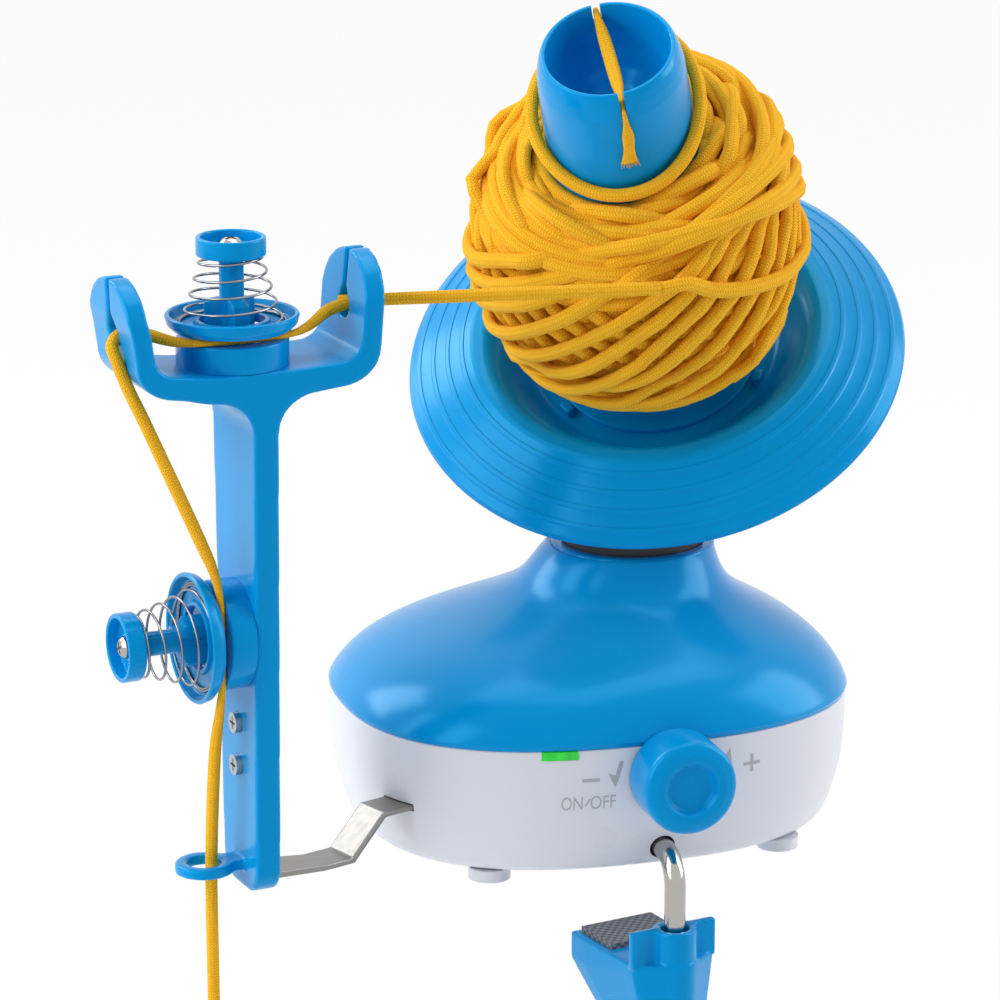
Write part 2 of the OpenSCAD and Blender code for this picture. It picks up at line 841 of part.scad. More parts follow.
// Start of the yarn: through one rim slot, across the mouth and out of the other
module yarn_tail() {
    reach = bobbin_r + 6;
    path = smooth([
        [reach, 0, bobbin_top - 22], [reach - 0.4, 0, bobbin_top - 12], [reach - 4, 0, bobbin_top - 5.5],
        [bobbin_r - 9, 0, bobbin_top - 5], [0, 0, bobbin_top - 5.4], [-bobbin_r + 9, 0, bobbin_top - 5],
        [-reach + 4, 0, bobbin_top - 5.5], [-reach + 0.4, 0, bobbin_top - 12]
    ], 3);
    color(gold) on_tilt() rotate([0, 0, rim_slot_turn]) tube(path, [for (p = path) 1.4], 8, [0, 1, 0]);
}

module control_board() {
    color(green) translate([-59, board_y, 16]) cube([84, board_t, 30]);
}

module board_parts() {
    back = board_y + board_t + 0.02;
    color(black) {
        translate([-40, back, 22]) cube([14, 2, 10]);
        translate([-14, back, 24]) cube([10, 4.4, 14]);
        for (x = [2, 12]) translate([x, back + 5.5, 22]) cylinder(r = 5, h = 12);
        for (x = [2, 12]) translate([x - 2, back, 23]) cube([4, 3, 9]);
    }
}

module potentiometer() {
    color(steel)
        difference() {
            union() {
                on_knob() translate([0, 0, -board_y + 0.05]) cylinder(r = 8.2, h = 10);
                on_knob() translate([0, 0, half_d - 12]) cylinder(r = 4.5, h = 12.2);
            }
            on_knob() translate([0, 0, -board_y + 3]) cylinder(r = 3.05, h = 40);
        }
}

module knob_shaft() {
    color(steel) on_knob() translate([0, 0, -board_y + 3.5]) cylinder(r = 3, h = 26);
}

module speed_knob() {
    back = half_d + 0.7;
    color(blue)
        on_knob()
            difference() {
                union() {
                    translate([0, 0, back]) cylinder(r = knob_r, h = knob_depth - 2);
                    translate([0, 0, back + knob_depth - 2.01]) cylinder(r1 = knob_r, r2 = knob_r - 1.6, h = 2);
                }
                translate([0, 0, back - 1]) cylinder(r = 3.02, h = -board_y + 30 - back + 1);
                translate([0, 0, back - 1]) ring_tube(knob_r - 2.4, 6, 9);
                translate([0, 0, back + knob_depth + 20]) sphere(r = 22.6, $fn = 96);
                translate([-11.3, -2.6, back + knob_depth - 0.8]) cylinder(r = 1.3, h = 4);
            }
}

module indicator_led() {
    color("#D8F0D8")
        translate([led_x, board_y - 0.05, led_z - 2.5]) rotate([90, 0, 0]) {
            cylinder(r = 1.8, h = 5);
            cylinder(r = 2.2, h = 1);
        }
}

// The lens's foot stands just behind the front wall
lens_fit = 0.25;
function front_wall(x, inset) =
    -(half_d - inset) * pow(1 - pow(abs(x - base_shift) / (half_w - inset), base_power), 1 / base_power);
lens_back = front_wall(led_x - 3, wall) + lens_fit;
module indicator_lens() {
    color("#20E020")
        intersection() {
            union() {
                translate([led_x - 5.75, -half_d - 3, led_z - 1.4]) cube([11.5, 12, 2.8]);
                translate([led_x - 3, lens_back, led_z - 4.4]) cube([6, 4.5, 5.5]);
            }
            lower_solid(-0.35, foot_h + 1, seam_z - 0.1);
        }
}

// Inlet in the rear wall
jack_y = half_d - 24.5;
module power_jack() {
    color(black)
        difference() {
            union() {
                translate([15, jack_y, 11]) cube([10, 10.8, 10]);
                translate([20, jack_y + 7.5, 16]) rotate([-90, 0, 0]) cylinder(r = 5, h = 11.8);
            }
            translate([20, jack_y + 9.5, 16]) rotate([-90, 0, 0]) ring_tube(2.8, 1, 20);
            translate([20, jack_y + 17.5, 16]) rotate([-90, 0, 0]) cylinder(r = 2.8, h = 20);
        }
}

module leads(routes) {
    for (r = routes) {
        path = smooth(r, 4);
        tube(path, [for (p = path) 0.8], 8);
    }
}

module motor_leads() {
    color("#C03028")
        leads([
            for (s = [0, 4])
                [
                    [motor_x - 2 + s, -13, 8.1], [motor_x - 1 + s, -26, 8.2], [motor_x + 5 + s, -40, 10],
                    [motor_x + 13 + s, -49, 17], [motor_x + 17 + s, -53.2, 21]
                ]
        ]);
}

module jack_leads() {
    color("#C03028")
        leads([
            for (s = [0, 4])
                [
                    [18 + s, 46.8, 13], [20 + s, 44, 10], [28 + s, 26, 8.2], [30 + s, 0, 8.2], [26 + s, -28, 8.6],
                    [16 + s, -44, 14], [14 + s, -53.2, 19]
                ]
        ]);
}

// Steel rod: straight in the base, bent down outside it, threaded at its end
rod_end = -112;
module clamp_rod() {
    color(steel)
        translate([rod_x, 0, 0]) {
            translate([0, -24, rod_z]) rotate([90, 0, 0]) cylinder(r = rod_r, h = -rod_y - rod_bend - 24);
            translate([0, rod_y + rod_bend, rod_z - rod_bend])
                rotate([0, 90, 0])
                    rotate([0, 0, 180])
                        rotate_extrude(angle = 90) translate([rod_bend, 0]) circle(r = rod_r);
            translate([0, rod_y, rod_end]) cylinder(r = rod_r, h = rod_z - rod_bend - rod_end);
        }
}

jaw_top = -12;
jaw_foot = -76;
module clamp_jaw() {
    color(blue)
        on_jaw()
            difference() {
                union() {
                    translate([0, 0, jaw_foot]) cylinder(r = 7.25, h = jaw_top - jaw_foot);
                    hull() {
                        translate([-16.5, 30, shelf_z - 9]) cube([33, 9, 9]);
                        translate([-15.5, 1, shelf_z - 2]) cube([31, 2, 2]);
                        translate([0, 0, jaw_foot + 3]) cylinder(r = 6.8, h = 6, $fn = 32);
                        translate([0, -1, shelf_z - 3]) cylinder(r = 7, h = 3, $fn = 32);
                    }
                    translate([-16, 0, shelf_z - 1]) cube([32, 3, -shelf_z + jaw_top + 1.4]);
                }
                translate([0, 0, jaw_foot - 1]) cylinder(r = rod_r + 1.2, h = 200);
                translate([-13.7, 17.3, shelf_z - 0.6]) cube([27.4, 20, 3]);
            }
}

module clamp_pad() {
    color(rubber) on_jaw() translate([-13.4, 17.6, shelf_z - 0.55]) cube([26.8, 19.4, 2.2]);
}

module clamp_nut() {
    color(blue)
        translate([rod_x, rod_y, jaw_foot - 14.3])
            rotate([0, 0, 30])
                difference() {
                    union() {
                        cylinder(r = 7.5, h = 14);
                        for (a = [0, 180])
                            rotate([0, 0, a])
                                hull() {
                                    translate([4, -2, 1]) cube([3, 4, 11]);
                                    translate([19, 2, 6]) rotate([90, 0, 0]) cylinder(r = 6, h = 4, $fn = 32);
                                }
                    }
                    translate([0, 0, -1]) cylinder(r = rod_r + rod_fit, h = 20);
                }
}

// Fork outline: a tray with rounded ends between two ears
module fork_outline(half, r, low) {
    translate([-half, low + r]) square([2 * half, 80]);
    translate([-half + r, low]) square([2 * half - 2 * r, 80]);
    for (s = [-1, 1]) translate([s * (half - r), low + r]) circle(r = r);
}

module arm_profile() {
    out = (ear_span + ear_t) / 2;
    fillet = 12;
    low = bar_z - bar_t;
    translate([fork_shift, 0])
        difference() {
            fork_outline(out, 13, low);
            fork_outline(out - ear_t, 7, bar_z);
        }
    translate([-web_t / 2, arm_foot_z]) square([web_t, low - arm_foot_z + 3]);
    difference() {
        translate([-web_t / 2 - fillet, low - fillet]) square([web_t + 2 * fillet, fillet + 1]);
        for (s = [-1, 1]) translate([s * (web_t / 2 + fillet), low - fillet]) circle(r = fillet);
    }
}

// Side outline of the arm: tapered web with a round foot, ears with round tops
module arm_side() {
    half = arm_w / 2;
    foot_half = half - 3.5;
    foot_round = 9;
    polygon([
        [-foot_half, arm_foot_z + foot_round], [foot_half, arm_foot_z + foot_round],
        [half, bar_z - 20], [half, ear_z - half], [-half, ear_z - half], [-half, bar_z - 20]
    ]);
    translate([-foot_half + foot_round, arm_foot_z]) square([2 * foot_half - 2 * foot_round, foot_round + 1]);
    for (s = [-1, 1]) translate([s * (foot_half - foot_round), arm_foot_z + foot_round]) circle(r = foot_round);
    translate([0, ear_z - half]) circle(r = half);
}

ear_hole_z = 196;
yarn_ring_x = -16.6;
module yarn_arm() {
    color(blue)
        on_arm()
            difference() {
                union() {
                    intersection() {
                        translate([0, 40, 0]) rotate([90, 0, 0]) linear_extrude(80) arm_profile();
                        translate([-100, 0, 0]) rotate([90, 0, 90]) linear_extrude(200) arm_side();
                    }
                    translate([yarn_ring_x, 0, ring_z - 1.75]) cylinder(r = 9.5, h = 3.5);
                    translate([yarn_ring_x + 4, -5, ring_z - 1.75]) cube([-yarn_ring_x - 4, 10, 3.5]);
                }
                translate([yarn_ring_x, 0, 0]) cylinder(r = 5.4, h = 40);
                for (s = [-1, 1]) {
                    translate([fork_shift + s * ear_span / 2 - 8, 0, ear_hole_z])
                        rotate([0, 90, 0]) cylinder(r = 4.2, h = 16);
                    translate([fork_shift + s * ear_span / 2 - 8, -0.8, ear_hole_z]) cube([16, 1.6, 40]);
                    translate([fork_shift + s * ear_span / 2 - 8, 0, ear_hole_z])
                        rotate([0, -90, 180])
                            linear_extrude(16) polygon([[2.6, -3.2], [2.6, 3.2], [8, 0.7], [8, -0.7]]);
                }
                for (z = screw_zs) translate([-20, 0, z]) rotate([0, 90, 0]) cylinder(r = 1.7, h = 40);
                translate([fork_shift, 0, bar_z - 5]) cylinder(r = 4.02, h = 10);
                translate([-web_t / 2 - 5, 0, low_tension_z]) rotate([0, 90, 0]) cylinder(r = 4.02, h = 10);
            }
}

// Bent steel strip: straight in the slot, stepped down, then up the arm's face
step_out = 9;
step_in = 21.6;
level_from = 24;
level_to = 33;
bend_lap = 0.03;
module arm_strip() {
    half_t = strip_t / 2;
    lean_t = half_t * tan(22.5);
    color(steel)
        difference() {
            union() {
                on_strip()
                    translate([0, strip_w / 2, 0])
                        rotate([90, 0, 0])
                            linear_extrude(strip_w)
                                polygon([
                                    [-19.5, strip_z - half_t], [step_out - lean_t, strip_z - half_t],
                                    [step_in - lean_t, strip_low_z - half_t], [level_from, strip_low_z - half_t],
                                    [level_from, strip_low_z + half_t], [step_in + lean_t, strip_low_z + half_t],
                                    [step_out + lean_t, strip_z + half_t], [-19.5, strip_z + half_t]
                                ]);
                translate([0, 0, strip_low_z - half_t - bend_lap])
                    linear_extrude(strip_t + 2 * bend_lap) polygon(strip_level());
                on_arm()
                    translate([web_t / 2 + arm_gap, -tab_w / 2, strip_low_z])
                        cube([strip_t, tab_w, tab_top - strip_low_z]);
            }
            on_arm() for (z = screw_zs) translate([0, 0, z]) rotate([0, 90, 0]) cylinder(r = 1.52, h = 20);
        }
}

function arm_point(x, y) =
    [arm_x + x * cos(arm_turn) - y * sin(arm_turn), arm_y + x * sin(arm_turn) + y * cos(arm_turn)];
function strip_point(x, y) =
    slot_at + [x * cos(strip_turn) - y * sin(strip_turn), x * sin(strip_turn) + y * cos(strip_turn)];
// Level stretch of the strip, from the step to the arm's face
function strip_level() =
    let (half = strip_w / 2 + bend_lap, from = level_from - 1.2, face = web_t / 2 + arm_gap + bend_lap)
        [
            strip_point(from, -half), strip_point(from, half), strip_point(level_to, half),
            arm_point(face, -tab_w / 2 + bend_lap), arm_point(face, tab_w / 2 - bend_lap),
            strip_point(level_to, -half)
        ];

module arm_screws() {
    color(steel)
        on_arm()
            for (z = screw_zs)
                translate([-web_t / 2 - 0.05, 0, z]) rotate([0, -90, 0]) screw(3.4, 2, 1.5, web_t + strip_t + 1.6);
}

// Seat, three-finned base and stem of a tensioner, with a spigot into the arm
fin_top = 21.5;
stem_top = cap_top - cap_h;
module tension_post() {
    difference() {
        union() {
            translate([0, 0, -5]) cylinder(r = 4, h = 6);
            translate([0, 0, 0.05]) cylinder(r = seat_r, h = seat_h);
            cylinder(r = 3.9, h = stem_top - 0.05);
            for (a = [30, 150, 270])
                rotate([0, 0, a]) {
                    translate([0, -2.6, 1]) cube([8.6, 5.2, fin_top - 3.6]);
                    translate([0, -2.6, 1]) cube([6.2, 5.2, fin_top - 1]);
                    translate([6.2, 2.6, fin_top - 2.4]) rotate([90, 0, 0]) cylinder(r = 2.4, h = 5.2);
                }
        }
        translate([0, 0, stem_top - 16]) cylinder(r = 1.42, h = 30);
    }
}

disc_low = seat_h + grip_gap;
module tension_disc() {
    rotate_extrude()
        polygon([
            [10.2, disc_low + 0.6], [11, disc_low], [disc_r - 2.6, disc_low], [disc_r - 0.6, disc_low + 2],
            [disc_r, disc_low + 4.6], [disc_r - 0.5, disc_low + 5.2], [disc_r - 1.6, disc_low + 5],
            [disc_r - 2.4, disc_low + 1.8], [12, disc_low + 1.8], [11.6, disc_low + 3.2], [10.2, disc_low + 3.2]
        ]);
}

// Conical spring from the disc's dish up under the cap
spring_low = disc_low + 1.8 + wire_r + 0.1;
spring_high = stem_top - wire_r - 0.1;
spring_rings = 8;
function spring_point(s) =
    let (t = s / spring_turns, r = 17.4 - 7.4 * ease(t * 1.05))
        [r * cos(360 * s), r * sin(360 * s), spring_low + (spring_high - spring_low) * t];
spring_path = [for (k = [0 : spring_turns * spring_rings]) spring_point(k / spring_rings)];

module tension_spring() {
    echo(spring_gap = least_gap(spring_path, 2 * wire_r, 5));
    tube(spring_path, [for (p = spring_path) wire_r], 6, [0, 0, 1]);
}

// Cup-shaped cap with a boss under its screw
cap_floor = 1.8;
cap_boss = 3.2;
module tension_cap() {
    translate([0, 0, stem_top])
        difference() {
            union() {
                cylinder(r = 4.6, h = cap_boss);
                difference() {
                    cylinder(r = cap_r, h = cap_h);
                    translate([0, 0, cap_floor]) cylinder(r = cap_r - 1.7, h = cap_h);
                }
            }
            translate([0, 0, -1]) cylinder(r = 1.6, h = 20);
        }
}

module tension_screw() {
    translate([0, 0, stem_top + cap_boss + 0.05]) screw(3.6, 2.4, 1.4, 15);
}

module upper_post() {
    color(blue) on_upper() tension_post();
}

module lower_post() {
    color(blue) on_lower() rotate([0, 0, 180]) tension_post();
}

module upper_disc() {
    color(blue) on_upper() tension_disc();
}

module lower_disc() {
    color(blue) on_lower() tension_disc();
}

module upper_spring() {
    color(steel) on_upper() tension_spring();
}

module lower_spring() {
    color(steel) on_lower() tension_spring();
}

module upper_cap() {
    color(blue) on_upper() tension_cap();
}

module lower_cap() {
    color(blue) on_lower() tension_cap();
}

module cap_screws() {
    color(steel) {
        on_upper() tension_screw();
        on_lower() tension_screw();
    }
}

// Yarn from the supply, through ring, tensioners and ears, to the ball: arm coordinates, then a radius
grip_z = bar_z + seat_h + grip_gap / 2;
grip_x = -web_t / 2 - seat_h - grip_gap / 2;
thin = grip_gap / 2 - 0.2;
ear_l = fork_shift - ear_span / 2;
ear_r = fork_shift + ear_span / 2;
strand_route = [
    [yarn_ring_x + 2.4, 0, -52, yarn_r], [yarn_ring_x + 2.4, 0, -20, yarn_r], [yarn_ring_x + 2.4, 0, ring_z, yarn_r],
    [grip_x - 0.2, -4, low_tension_z - 40, yarn_r], [grip_x, -9, low_tension_z - 22, 1.5],
    [grip_x, -11.6, low_tension_z - 12, thin], [grip_x, -12, low_tension_z, thin],
    [grip_x, -11.6, low_tension_z + 12, thin], [grip_x - 1.2, -9.5, low_tension_z + 22.5, 1.5],
    [grip_x - 7, -6.5, low_tension_z + 35, yarn_r], [-41, -2.5, 165, yarn_r], [-47.5, -1.2, 177, yarn_r],
    [ear_l - 6.6, -0.4, 187, yarn_r], [ear_l - 6.4, 0, ear_hole_z - 3, yarn_r],
    [ear_l, 0, ear_hole_z - 0.8, yarn_r], [ear_l + 8, -1.6, ear_hole_z - 2.2, yarn_r],
    [-26, -7.4, grip_z + 0.7, 1.6], [-17, -10.6, grip_z, thin], [fork_shift, -12, grip_z, thin],
    [10, -10.6, grip_z, thin], [18.6, -7, grip_z + 1, 1.5], [ear_r - 8, -1.4, ear_hole_z - 1.2, yarn_r],
    [ear_r, 0, ear_hole_z + 0.2, yarn_r], [ear_r + 4.4, -0.3, ear_hole_z + 0.6, yarn_r]
];
// Place on the ball where the yarn runs on
ball_touch = [-12.4, -61.2, 197.5];
function world(p) = concat(arm_point(p[0], p[1]), [p[2]]);
strand_steps = 3;
strand_points = concat([for (p = strand_route) concat(world(p), [p[3]])], [concat(ball_touch, [yarn_r])]);
strand_fine = smooth(strand_points, strand_steps);
strand_split = (len(strand_route) - 1) * strand_steps;
feed_gap = 0.05;

module yarn_run(points) {
    tube([for (p = points) [p[0], p[1], p[2]]], [for (p = points) p[3]], 8);
}

// Supply yarn as far as the arm's last ear
module yarn_strand() {
    color(gold) yarn_run([for (i = [0 : strand_split]) strand_fine[i]]);
}

// Free yarn from the last ear to the ball, which the turning plate lifts as it passes
module yarn_feed() {
    from = strand_fine[strand_split];
    to = strand_fine[strand_split + 1];
    color(gold)
        yarn_run(concat(
            [from + (to - from) * feed_gap / norm(to - from)],
            [for (i = [strand_split + 1 : len(strand_fine) - 1]) strand_fine[i]]
        ));
}

lower_housing();
upper_housing();
feet();
housing_screws();
chassis_plate();
chassis_screws();
motor();
motor_screws();
idler_axle();
lower_bearing();
upper_bearing();
drive_collar();
collar_screws();
traction_ring();
control_board();
board_parts();
potentiometer();
indicator_led();
indicator_lens();
power_jack();
motor_leads();
jack_leads();
motor_shaft();
motor_pinion();
idler_gear();
main_shaft();
main_gear();
shaft_clips();
crank_head();
spindle_pin();
spindle_clip();
winding_plate();
plate_bush();
bobbin();
yarn_core();
yarn_winding();
yarn_tail();
speed_knob();
knob_shaft();
clamp_rod();
clamp_jaw();
clamp_pad();
clamp_nut();
yarn_arm();
arm_strip();
arm_screws();
upper_post();
upper_spring();
upper_cap();
lower_post();
lower_spring();
lower_cap();
cap_screws();
upper_disc();
lower_disc();
yarn_strand();
yarn_feed();
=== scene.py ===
# %% [markdown]
# A yarn ball winder, dressed piece by piece.
# The solids come in as a fixed frame, in metres, with +Z up and the front towards -Y.
# Each cell after that makes one piece or one finish, and says on what it rides.

# %% The frame and the box that it fills
import json
import math

import bpy
import numpy as np
from mathutils import Matrix, Vector


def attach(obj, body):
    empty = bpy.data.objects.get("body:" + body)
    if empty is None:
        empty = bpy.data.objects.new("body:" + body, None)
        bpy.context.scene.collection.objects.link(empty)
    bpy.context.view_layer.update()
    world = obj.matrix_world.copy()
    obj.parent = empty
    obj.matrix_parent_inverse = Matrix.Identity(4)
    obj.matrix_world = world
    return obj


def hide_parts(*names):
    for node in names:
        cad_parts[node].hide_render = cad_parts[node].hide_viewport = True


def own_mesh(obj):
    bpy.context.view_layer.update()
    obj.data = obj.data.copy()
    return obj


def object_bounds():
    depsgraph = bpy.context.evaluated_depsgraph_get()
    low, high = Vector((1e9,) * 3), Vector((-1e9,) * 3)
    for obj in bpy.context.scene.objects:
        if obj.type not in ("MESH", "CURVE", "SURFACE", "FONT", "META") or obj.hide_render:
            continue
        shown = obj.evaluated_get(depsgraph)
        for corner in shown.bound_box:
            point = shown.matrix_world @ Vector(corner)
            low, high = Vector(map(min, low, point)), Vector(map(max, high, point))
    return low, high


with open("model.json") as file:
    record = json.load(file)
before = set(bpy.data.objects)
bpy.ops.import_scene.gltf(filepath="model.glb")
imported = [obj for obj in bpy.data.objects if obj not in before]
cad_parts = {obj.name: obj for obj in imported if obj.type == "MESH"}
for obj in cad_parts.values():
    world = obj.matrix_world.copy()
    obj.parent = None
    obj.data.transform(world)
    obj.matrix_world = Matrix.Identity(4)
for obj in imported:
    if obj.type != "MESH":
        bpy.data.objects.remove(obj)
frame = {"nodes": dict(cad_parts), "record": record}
cad_low, cad_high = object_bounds()
nodes = frame["nodes"]
scene = bpy.context.scene
MM = 0.001

# %% [markdown]
# The machine has a few tilted or turned places that many pieces share.
# Each is one matrix here, so a piece can be made upright at the origin and then set down in one move.

# %% Places on the machine
CROSS_Z, TILT, LEAN, PLATE_DROP = 205.4, 35.0, -120.5, 70.5


def move(x, y, z):
    return Matrix.Translation((x * MM, y * MM, z * MM))


def turn(degrees, axis):
    return Matrix.Rotation(math.radians(degrees), 4, axis)


ON_TILT = move(0, 0, CROSS_Z) @ turn(LEAN, "Z") @ turn(TILT, "Y") @ move(0, 0, -PLATE_DROP)
ON_ARM = move(-146, -50.6, 0) @ turn(8, "Z")
ON_UPPER = ON_ARM @ move(-4, 0, 181)
ON_LOWER = ON_ARM @ move(-4.15, 0, 93) @ turn(-90, "Y")
ON_KNOB = move(-10, 0, 38.5) @ turn(90, "X")
ON_JAW = move(-12, -80, 0) @ turn(12, "Z")
ON_STRIP = move(-94.4, -37.7, 0) @ turn(201, "Z")

# %% [markdown]
# The camera stands where the photographer stood: a long lens, a little above the machine and to its left.
# The lens and the place were worked out from the ellipses of the plate, the discs and the seam.

# %% Camera
bpy.ops.object.camera_add(location=(-0.4774, -1.3770, 0.5150))
camera = bpy.context.object
camera.rotation_euler = (math.radians(74.48), 0, math.radians(-17.37))
camera.data.lens = 162
camera.data.sensor_width = 36
camera.data.clip_end = 30
scene.camera = camera
print("camera lens", camera.data.lens, "mm")

# %% [markdown]
# Colours are given as hex codes. A few small functions add the nodes of a finish and link them,
# so that the recipes further down stay short.

# %% Helpers for colours and nodes
def srgb(code):
    values = [int(code[i:i + 2], 16) / 255 for i in (1, 3, 5)]
    linear = [v / 12.92 if v <= 0.04045 else ((v + 0.055) / 1.055) ** 2.4 for v in values]
    return (*linear, 1.0)


def link(tree, node, links):
    for key, source in links.items():
        tree.links.new(source, node.inputs[key])


def add(tree, kind, settings=None, links=None):
    node = tree.nodes.new(kind)
    for key, value in (settings or {}).items():
        if isinstance(key, int) or key in node.inputs:
            node.inputs[key].default_value = value
        else:
            setattr(node, key, value)
    link(tree, node, links or {})
    return node


def maths(tree, operation, *terms):
    """One step of arithmetic, on numbers or on what other nodes give."""
    node = add(tree, "ShaderNodeMath", {"operation": operation})
    for socket, term in zip(node.inputs, terms):
        if isinstance(term, (int, float)):
            socket.default_value = term
        else:
            tree.links.new(term, socket)
    return node.outputs[0]


# %% [markdown]
# A product picture is lit by large soft boxes. A strong one stands on the left, because the left faces of
# the arm are the brightest, a weaker one on the right, and a broad one hangs above. A small one behind on the
# left draws the long highlights on the shoulders of the base.
# The floor is plain and pale, and lies just under the end of the clamp rod.

# %% World, lamps and floor
WHITE = (1, 1, 1, 1)
ROOM_COLOUR, ROOM_STRENGTH = (0.95, 0.97, 1.0, 1), 0.27
PAPER_COLOUR, PAPER_GLOW = (0.88, 0.89, 0.90, 1), 0.95
FLOOR_SIZE, FLOOR_GAP = 24, 0.0015


def seen_rays(tree):
    """1 for what the camera sees straight, through plastic or in a reflection, and 0 for other light."""
    rays = add(tree, "ShaderNodeLightPath").outputs
    direct = maths(tree, "MAXIMUM", rays["Is Camera Ray"], rays["Is Transmission Ray"])
    return maths(tree, "MAXIMUM", direct, rays["Is Glossy Ray"])


def lit_or_seen(tree, share, lit, seen, output):
    """Ends a node tree: one shader for the light that it gives, the other for what the camera sees."""
    both = add(tree, "ShaderNodeMixShader", None, {0: share, 1: lit.outputs[0], 2: seen.outputs[0]})
    add(tree, output, None, {"Surface": both.outputs[0]})


scene.view_settings.view_transform = "Standard"
world = bpy.data.worlds.new("studio")
scene.world = world
world.use_nodes = True
sky = world.node_tree
sky.nodes.clear()
dim = add(sky, "ShaderNodeBackground", {"Color": ROOM_COLOUR, "Strength": ROOM_STRENGTH})
white = add(sky, "ShaderNodeBackground", {"Color": WHITE, "Strength": 1.0})
lit_or_seen(sky, seen_rays(sky), dim, white, "ShaderNodeOutputWorld")


def soft_box(name, place, aim, width, height, watts):
    bpy.ops.object.light_add(type="AREA", location=place)
    lamp = bpy.context.object
    lamp.name = name
    lamp.data.shape = "RECTANGLE"
    lamp.data.size = width
    lamp.data.size_y = height
    lamp.data.energy = watts
    lamp.rotation_euler = (Vector(aim) - Vector(place)).to_track_quat("-Z", "Y").to_euler()


soft_box("left_box", (-1.45, -0.26, 0.85), (0, 0, 0.12), 1.3, 1.4, 20)
soft_box("right_box", (1.35, -0.32, 0.75), (0, 0, 0.12), 0.9, 1.2, 13.5)
soft_box("top_box", (0.15, 0.1, 1.5), (0, 0, 0.1), 1.2, 1.0, 8)
soft_box("back_box", (-1.0, 1.05, 1.05), (0, 0, 0.1), 0.6, 0.9, 8)

bpy.ops.mesh.primitive_plane_add(size=FLOOR_SIZE, location=(0, 0, cad_low.z - FLOOR_GAP))
floor = bpy.context.object
floor.name = "floor"
paper = bpy.data.materials.new("pale_paper")
paper.use_nodes = True
sheet = paper.node_tree
sheet.nodes.clear()
matt = add(sheet, "ShaderNodeBsdfDiffuse", {"Color": PAPER_COLOUR})
bright = add(sheet, "ShaderNodeEmission", {"Color": WHITE, "Strength": 1.0})
mostly = maths(sheet, "MULTIPLY", seen_rays(sheet), PAPER_GLOW)
lit_or_seen(sheet, mostly, matt, bright, "ShaderNodeOutputMaterial")
floor.data.materials.append(paper)
print("floor at", round(floor.location.z, 4), "m")

# %% [markdown]
# Moulded ABS has an even colour, a satin skin and a very fine spark-eroded grain from its tool.
# One recipe makes all the plastics: a cloudy colour shift of a few per cent over centimetres,
# a roughness that wanders a little, and a grain bump whose size is given in millimetres.

# %% Helpers for finishes
def remap(tree, value, settings):
    return add(tree, "ShaderNodeMapRange", settings, {"Value": value}).outputs[0]


def noise(tree, size_mm, detail, place):
    """A cloudy pattern whose blobs have about the given size."""
    settings = {"Scale": 1000 / size_mm, "Detail": detail}
    return add(tree, "ShaderNodeTexNoise", settings, {"Vector": place}).outputs["Fac"]


def blend(tree, share, first, second):
    return add(tree, "ShaderNodeMix", {"data_type": "RGBA", 6: first, 7: second}, {0: share}).outputs[2]


def bump(tree, strength, depth_mm, height):
    settings = {"Strength": strength, "Distance": depth_mm * MM}
    return add(tree, "ShaderNodeBump", settings, {"Height": height}).outputs[0]


def new_skin(name, settings):
    """A material with its node tree and its surface node, whose plain inputs are set."""
    mat = bpy.data.materials.new(name)
    mat.use_nodes = True
    skin = mat.node_tree.nodes["Principled BSDF"]
    for key, value in settings.items():
        skin.inputs[key].default_value = value
    return mat, mat.node_tree, skin


# %% Moulded plastics
PLASTIC_IOR, CLOUD_MM = 1.53, 45


def moulded(name, code, roughness, grain_mm, grain_depth_mm, shift=0.05, gloss=0.45, tint="#FFFFFF"):
    mat, tree, skin = new_skin(
        name, {"IOR": PLASTIC_IOR, "Specular IOR Level": gloss, "Specular Tint": srgb(tint)})
    spot = add(tree, "ShaderNodeTexCoord").outputs["Object"]
    cloud = noise(tree, CLOUD_MM, 3.0, spot)
    base = srgb(code)
    dark = tuple(c * (1 - shift) for c in base[:3]) + (1,)
    light = tuple(min(c * (1 + shift), 1) for c in base[:3]) + (1,)
    link(tree, skin, {
        "Base Color": blend(tree, cloud, dark, light),
        "Roughness": remap(tree, cloud, {"To Min": roughness - 0.04, "To Max": roughness + 0.05}),
        "Normal": bump(tree, 0.5, grain_depth_mm, noise(tree, grain_mm, 2.0, spot)),
    })
    return mat


BLUE, BLUE_SHINE = "#0092D6", "#58CFFF"
blue_abs = moulded("blue_abs_satin", BLUE, 0.20, 0.6, 0.010, tint=BLUE_SHINE)
grained_abs = moulded("blue_abs_grained", BLUE, 0.34, 1.1, 0.16, tint=BLUE_SHINE)
white_abs = moulded("white_abs_satin", "#E0E2E9", 0.28, 0.6, 0.012, 0.012, gloss=0.3)
nylon = moulded("natural_nylon", "#E8E4D6", 0.42, 0.8, 0.02)
black_abs = moulded("black_abs_matt", "#1C1D20", 0.5, 0.7, 0.02)
board_green = moulded("green_circuit_board", "#1F6B3A", 0.35, 0.5, 0.01)
lead_red = moulded("red_pvc_lead", "#B93128", 0.4, 0.6, 0.01)
grey_rubber = moulded("grey_rubber", "#4A4C50", 0.75, 0.5, 0.03)
print("plastics ready")

# %% [markdown]
# The steel in view comes in three finishes. The rod and the screws are polished and reflect the room,
# the strip is rolled sheet with a fine lengthwise grain, and the springs are drawn wire.

